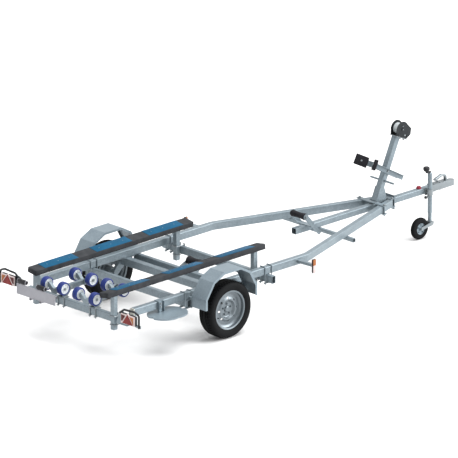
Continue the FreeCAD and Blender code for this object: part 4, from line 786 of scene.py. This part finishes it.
# %% Bunk post clamps
BOLT, BOLT_BEND, GRIP = 0.005, 0.0063, 0.0305  # rod radius, its bend, and how far a leg stands from the tube's middle
post_ahead, post_left, post_pitch = -1.275, 0.562, 1.968
strap_back = post_ahead + 0.0752
post_clamp = []
for up in (0.4555, 0.3645):
    legs = [from_axle(ahead, post_left + way * GRIP, up) for ahead, way in
            ((strap_back + 0.0178, 1), (post_ahead - GRIP, 1), (post_ahead - GRIP, -1), (strap_back + 0.0178, -1))]
    post_clamp.append(bent_bar("post_u_bolt", BOLT, legs, BOLT_BEND))
    for leg in (legs[0], legs[-1]):
        post_clamp += nut(leg - AHEAD * 0.0125, AHEAD, 0.0095, 0.007)
for way in (-1, 1):
    left = post_left + way * GRIP
    post_clamp.append(block("post_strap", from_axle(strap_back, left - 0.012, 0.350),
                            from_axle(strap_back + 0.0053, left + 0.012, 0.470)))
post_clamp = joined(post_clamp, "post_clamp")
for end, ahead in (("rear", 0), ("front", post_pitch)):
    for side, left in (("left", 0), ("right", -2 * post_left)):
        twin = copied(post_clamp, "post_clamp_%s_%s" % (end, side), (ahead, left, 0))
        hand_over(twin, "zinc", smooth=30)
bpy.data.objects.remove(post_clamp)
print("four post clamps with eight U-bolts")


# %% [markdown]
# Each rocker bracket sits on the rear cross member between two U-bolts, which press small saddle plates down beside
# its foot. One U-bolt with its plate and nuts is made and copied to both sides of both brackets.

# %% Rocker bracket clamps
cross_ahead, saddle_up, leg_low = -1.225, 0.4561, 0.350
legs = [from_axle(cross_ahead + way * GRIP, 0, up) for way, up in
        ((-1, leg_low), (-1, saddle_up + BOLT), (1, saddle_up + BOLT), (1, leg_low))]
bracket_clamp = [bent_bar("bracket_u_bolt", BOLT, legs, BOLT_BEND)]
for name, long, wide, low, high in (("bracket_saddle", 0.080, 0.025, 0.4502, saddle_up),
                                    ("bracket_strap", 0.086, 0.026, 0.3640, 0.3698)):
    bracket_clamp.append(block(name, from_axle(cross_ahead - long / 2, -wide / 2, low),
                               from_axle(cross_ahead + long / 2, wide / 2, high)))
for leg in (legs[0], legs[-1]):
    bracket_clamp += nut(leg + UP * 0.014, -UP, 0.0095, 0.007)
bracket_clamp = joined(bracket_clamp, "bracket_clamp")
for side, way in SIDES:
    middle = joint_at["rocker_%s_tilt" % side].y
    for edge, step in (("inner", -0.041), ("outer", 0.041)):
        twin = copied(bracket_clamp, "bracket_clamp_%s_%s" % (edge, side), (0, middle + way * step, 0))
        hand_over(twin, "zinc", smooth=30)
bpy.data.objects.remove(bracket_clamp)
print("four bracket clamps on the rear cross member")


# %% [markdown]
# Everything on this trailer is bolted, so it can be set to a hull. Each row of the table is how far ahead of the
# axle and how far left its nuts stand, the height of their seat, the way they look, and their radius and height.
# Each place comes once on the left and once, mirrored, on the right.

# %% Frame nuts
NUT_ROWS = [
    ((-0.429, -0.341, 0.697, 0.789), (0.6498, 0.7202), 0.364, -UP, 0.0095, 0.007),  # cross member U-bolts
    ((0.036, 0.174), (0.685,), 0.442, -UP, 0.0115, 0.009),  # axle flanges
    ((2.928,), (0.1786,), 0.538, UP, 0.0145, 0.0095),  # drawbar clamp
    ((2.928,), (0.1786,), 0.442, -UP, 0.0145, 0.011),
    ((3.145,), (0.072,), 0.536, UP, 0.0115, 0.0085),  # arm tips
    ((3.145,), (0.072,), 0.444, -UP, 0.0115, 0.0085),
    ((2.985, 3.070), (0.0385,), 0.484, LEFT, 0.0115, 0.008),  # winch post's foot
    ((3.1171,), (0.0365,), 0.8254, LEFT, 0.0105, 0.008),  # bow stop's yoke
    ((0.400,), (0.101,), 0.490, LEFT, 0.016, 0.009),  # keel roller spindles
    ((1.880,), (0.106,), 0.640, LEFT, 0.016, 0.009),
    ((-1.138,), (0.257,), 0.536, LEFT, 0.018, 0.009),  # rocker pins, outer and inner end
    ((-1.138,), (0.203,), 0.536, -LEFT, 0.018, 0.009),
    ((3.800, 3.885), (0.020,), 0.521, UP, 0.010, 0.008),  # coupling
    ((3.800, 3.885), (0.020,), 0.450, -UP, 0.010, 0.008),
]
frame_nuts = []
for way in (-1, 1):
    for aheads, lefts, up, out, radius, tall in NUT_ROWS:
        for ahead in aheads:
            for left in lefts:
                look = Vector((0, out.y * way, out.z))
                frame_nuts += nut(from_axle(ahead, way * left, up), look, radius, tall)
    frame_nuts.append(rod("tip_bolt", *(from_axle(3.145, way * 0.072, up) for up in (0.434, 0.548)), 0.006, 16))
for up in (0.468, 0.502):
    frame_nuts += nut(from_axle(-0.777, -0.723, up), -LEFT, 0.010, 0.008)  # step
frame_count = len(frame_nuts)
hand_over(joined(frame_nuts, "frame_nuts"), "zinc", smooth=25)
fork_nuts = []
for way in (-1, 1):
    fork_nuts += nut(joint_at["jockey_wheel_spin"] + LEFT * way * 0.036, LEFT * way, 0.0135, 0.007)
hand_over(joined(fork_nuts, "jockey_fork_nuts"), "zinc", "jockey_fork", smooth=25)
print(frame_count // 2, "frame nuts with their washers, and two fork nuts")


# %% [markdown]
# The winch stands on a plate round the post's top, with two bolts up through its front. The plate is four flats
# round the square tube. It is easier to draw upright about the origin and lean with the post.

# %% Winch base plate and bolts
def leaned(piece):
    """Lean a piece that was drawn about the origin to the post's top."""
    fresh()
    piece.data.transform(Matrix.Translation(post_top) @ Matrix.Rotation(post_lean, 4, "Y"))
    return piece


TUBE_HALF, PLATE_HALF, PLATE_LOW, PLATE_HIGH = 0.0327, 0.056, -0.007, -0.0003
FLATS = ((TUBE_HALF, 0.122, -PLATE_HALF, PLATE_HALF), (-0.047, -TUBE_HALF, -PLATE_HALF, PLATE_HALF),
         (-TUBE_HALF, TUBE_HALF, TUBE_HALF, PLATE_HALF), (-TUBE_HALF, TUBE_HALF, -PLATE_HALF, -TUBE_HALF))
flats = [block("post_flat", (back, right, PLATE_LOW), (front, left, PLATE_HIGH))
         for back, front, right, left in FLATS]
hand_over(leaned(joined(flats, "winch_base_plate")), "zinc")
base_bolts = []
for way in (-1, 1):
    base_bolts += nut(Vector((0.092, way * 0.026, PLATE_LOW)), -UP, 0.0115, 0.010)
    base_bolts += nut(Vector((0.092, way * 0.026, 0.005)), UP, 0.010, 0.007)
hand_over(leaned(joined(base_bolts, "winch_base_bolts")), "zinc", smooth=25)
print("winch base plate on the post")


# %% [markdown]
# The winch handle ends in a moulded grip with a swell for the hand and a flange at each end, so it is spun. Next
# to the frame its shaft carries a ratchet wheel: a disc spun in 24 steps, with every second one pressed in for the
# gap between two teeth.

# %% Winch grip and ratchet wheel
grip_at = handle + post_out * 0.170
grip_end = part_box("winch_handle")[1][1]
grip_line = [(-0.096, 0.0), (-0.096, 0.0175), (-0.093, 0.0190), (-0.088, 0.0185), (-0.082, 0.0160), (-0.060, 0.0178),
             (-0.036, 0.0180), (-0.016, 0.0165), (-0.010, 0.0185), (-0.003, 0.0190), (0.002, 0.0165), (0.0035, 0.0)]
grip = turned("winch_handle_grip", grip_line, Vector((grip_at.x, grip_end, grip_at.z)), steps=40)
hand_over(grip, "black_plastic", "winch_handle", smooth=50)
TEETH, SHAFT, RATCHET, RATCHET_WIDE = 12, 0.0094, 0.0235, 0.0075
wheel_at = Vector((handle.x, 0.0475, handle.z))
ratchet_line = [(0, SHAFT), (0, RATCHET), (RATCHET_WIDE, RATCHET), (RATCHET_WIDE, SHAFT), (0, SHAFT)]
ratchet = turned("winch_ratchet", ratchet_line, wheel_at, steps=2 * TEETH)
press(ratchet, 0.004, 0, lambda place, normal: (place - wheel_at).xz.length > RATCHET - 0.001 and abs(normal.y) < 0.1
      and sector(place - wheel_at, 2 * TEETH) % 2 == 0)
hand_over(ratchet, "zinc", "winch_handle", smooth=20)
print("grip", round(grip_line[-1][0] - grip_line[0][0], 4), "m long; ratchet of", TEETH, "teeth")


# %% [markdown]
# The jockey wheel's crank has a big mushroom knob, and its stem is locked by a thumbscrew in a boss below the
# clamp. Both are moulded black plastic. A red cap closes the bolt hole on top of the drawbar.

# %% Jockey knob, thumbscrew and red cap
stem_at = joint_at["jockey_crank_turn"]
knob_line = [(0.0, 0.0), (0.0, 0.0098), (0.0085, 0.0112), (0.0108, 0.0185), (0.019, 0.0268), (0.027, 0.0325),
             (0.039, 0.0345), (0.051, 0.0335), (0.059, 0.0270), (0.0635, 0.0150), (0.0650, 0.0)]
knob = turned("jockey_knob", knob_line, stem_at + Vector((-0.050, 0, 0.0107)), "Z", 48)
hand_over(knob, "black_plastic", "jockey_crank", smooth=50)
screw_at = from_axle(3.669, stem_at.y, 0.428)
boss = rod("thumbscrew_boss", screw_at + AHEAD * 0.003, screw_at - AHEAD * 0.010, 0.013, 6)
shank = rod("thumbscrew_shank", screw_at - AHEAD * 0.010, screw_at - AHEAD * 0.026, 0.005, 16, 0.0005)
hand_over(joined([boss, shank], "thumbscrew_boss"), "zinc", smooth=30)
THUMB_STEPS = 24
thumb_line = [(-0.048, 0.0), (-0.048, 0.011), (-0.045, 0.0150), (-0.030, 0.0160), (-0.025, 0.012), (-0.020, 0.0085),
              (-0.020, 0.0)]
thumb = turned("thumbscrew_knob", thumb_line, screw_at, "X", THUMB_STEPS)
press(thumb, 0.002, 0, lambda place, normal: abs(normal.x) < 0.3 and (place - screw_at).yz.length > 0.0140
      and sector((place - screw_at).yyz, THUMB_STEPS) % 4 == 0)
hand_over(thumb, "black_plastic", smooth=40)
cap = turned("red_bolt_cap", [(0.0, 0.0), (0.0, 0.0260), (0.010, 0.0265), (0.019, 0.0240), (0.0255, 0.0180),
                              (0.0295, 0.0100), (0.0310, 0.0)], from_axle(3.599, 0, 0.5152), "Z", 32)
hand_over(cap, "lens", smooth=60)
print("knob", round(2 * max(out for along, out in knob_line), 3), "m across")


# %% [markdown]
# The bar across the winch post carries a loose steel sleeve on each side, which a rope is hooked over.

# %% Tee bar sleeves
tee_low, tee_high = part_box("post_tee_bar")
tee_middle = (Vector(tee_low) + Vector(tee_high)) / 2
sleeve_line = [(0.040, 0.0072), (0.040, 0.0098), (0.041, 0.0108), (0.165, 0.0108), (0.166, 0.0098), (0.166, 0.0072)]
sleeves = []
for way in (-1, 1):
    line = [(way * a, r) for a, r in sleeve_line + sleeve_line[:1]]
    sleeves.append(turned("tee_sleeve", line, tee_middle, steps=24))
hand_over(joined(sleeves, "tee_bar_sleeves"), "galvanised")
print("tee bar", round(tee_high[1] - tee_low[1], 3), "m long")


# %% [markdown]
# The coupling is pressed from thick sheet, so its corners are well rounded and its top falls towards the nose. It
# starts from the CAD hood: two cuts across the nose let the front of the top drop, then the outer edges are
# bevelled, while the slot round the drawbar and the ball socket stay sharp.

# %% Coupling
NOSE_DROP, HOOD_BEVEL = 0.013, 0.005
nose, hood_top = from_axle(4.096, 0, 0).x, 0.521
hood = from_cad("coupling_pressing", "coupling")
for back in (0.100, 0.050):
    mark("SELECT")
    bpy.ops.mesh.bisect(plane_co=(nose - back, 0, 0), plane_no=(1, 0, 0))
pick(hood, "VERT", lambda place, normal: place.z > hood_top - 0.001 and place.x > nose - 0.0505)
bpy.ops.transform.translate(value=(0, 0, -NOSE_DROP))
mark("DESELECT", "EDGE")
shell = bmesh.from_edit_mesh(hood.data)
for edge in shell.edges:
    place = (edge.verts[0].co + edge.verts[1].co) / 2
    outside = abs(place.y) > 0.0345 or place.z > hood_top - 0.015 or place.x > nose - 0.008
    edge.select_set(outside and len(edge.link_faces) == 2 and edge.calc_face_angle() > 0.5)
bmesh.update_edit_mesh(hood.data)
bpy.ops.mesh.bevel(offset=HOOD_BEVEL, segments=3, affect="EDGES", clamp_overlap=True)
hand_over(hood, "zinc", "chassis", ["coupling"], 35)
print("coupling hood", len(hood.data.polygons), "faces")


# %% [markdown]
# The coupling's hand lever is pressed steel: a channel that is cranked up from its pivot and back over the hood,
# with a pressed hollow along its top. The slab helper draws its side view and pulls it across.

# %% Coupling lever
side_view = [(-0.277, 0.032), (-0.270, 0.041), (-0.170, 0.074), (-0.121, 0.063), (-0.112, 0.055), (-0.103, 0.006),
             (-0.080, 0.0045), (-0.080, 0.0), (-0.121, 0.0), (-0.131, 0.046), (-0.166, 0.056), (-0.268, 0.023)]
lever = slab("coupling_hand_lever", -0.017, 0.017, [(nose + a, hood_top + up) for a, up in side_view], 0.002, "XZ")
press(lever, 0.003, 0.006, lambda place, normal: normal.z > 0.8 and place.z > hood_top + 0.045
      and place.x < nose - 0.19)
hand_over(lever, "zinc", "chassis", ["coupling_lever"])
print("lever", round(side_view[6][0] - side_view[0][0], 3), "m long")


# %% [markdown]
# The beam end caps are pushed in and held by two countersunk screws each. The holder carries a blank plate whose
# middle is pressed back a little, so that a thin rim stands round it.

# %% Cap screws and blank plate
cap_screws = []
for way in (-1, 1):
    for up in (0.515, 0.465):
        head = from_axle(-1.139, way * 0.685, up)
        screw = rod("cap_screw", head + AHEAD * 0.002, head - AHEAD * 0.0028, 0.0065, 20, 0.0008)
        press(screw, 0.0015, 0.003, lambda place, normal: normal.x < -0.9)
        cap_screws.append(screw)
hand_over(joined(cap_screws, "cap_screws"), "zinc")
PLATE_WIDE = 0.520
blank = block("blank_plate", (plate_low[0] - 0.0018, plate_left - PLATE_WIDE / 2, 0.455),
              (plate_low[0] + 0.0002, plate_left + PLATE_WIDE / 2, 0.561), 0.0006)
press(blank, 0.0009, 0.004, lambda place, normal: normal.x < -0.9)
hand_over(blank, "grey_plastic")
print("blank plate", PLATE_WIDE, "m wide")


# %% [markdown]
# The stage is a wide pale floor under a white sky. A broad light from overhead brightens every top, and a lower one
# from the front right makes the trailer's right-hand faces lighter than its rear faces. The camera stands far off
# behind a long lens, so that the trailer's two ends look equally large.

# %% Floor, light and camera
bpy.ops.object.select_all(action="DESELECT")
bpy.ops.mesh.primitive_plane_add(size=60, location=(0, 0, cad_box[0][2] - 0.0005))
floor = bpy.context.object
floor.name = "studio_floor"
floor_finish, floor_tree, floor_shader = new_finish("pale_floor", (0.68, 0.68, 0.68), 0, 0.9)
floor_cloud = ramp(floor_tree, noise(floor_tree, 0.3), [(0.3, (0.67, 0.67, 0.67)), (0.7, (0.69, 0.69, 0.69))])
floor_tree.links.new(floor_cloud, floor_shader.inputs["Base Color"])
floor.data.materials.append(floor_finish)

world = bpy.data.worlds.new("white_studio")
world.use_nodes = True
sky = world.node_tree.nodes["Background"].inputs
sky["Color"].default_value = (1, 1, 1, 1)
sky["Strength"].default_value = 0.92
bpy.context.scene.world = world


def soft_light(name, towards, strength, spread):
    """A far, wide light: strength is in W/m2 at a face that looks straight at it, spread is how soft, in degrees."""
    lamp = bpy.data.lights.new(name, "SUN")
    lamp.energy = strength
    lamp.angle = math.radians(spread)
    holder = bpy.data.objects.new(name, lamp)
    holder.rotation_euler = Vector(towards).to_track_quat("Z", "Y").to_euler()
    bpy.context.scene.collection.objects.link(holder)


soft_light("overhead_light", (0.1, -0.1, 1), 3.4, 50)
soft_light("key_light", (1.0, -0.9, 0.5), 3.4, 30)

look_at = Vector((-0.4143, 0, 0.7238))
towards_camera = Vector((-0.66131, -0.67719, 0.32261)).normalized()
camera_far = 210.0
frame_wide = 4.6413
sensor = 36.0
view = bpy.data.cameras.new("camera")
view.sensor_width = sensor
view.lens = sensor * camera_far / frame_wide
view.clip_start = 10
view.clip_end = 400
camera = bpy.data.objects.new("camera", view)
camera.location = look_at + towards_camera * camera_far
camera.rotation_euler = towards_camera.to_track_quat("Z", "Y").to_euler()
bpy.context.scene.collection.objects.link(camera)
bpy.context.scene.camera = camera
bpy.context.scene.view_settings.view_transform = "Standard"
print("camera lens", round(view.lens), "mm")
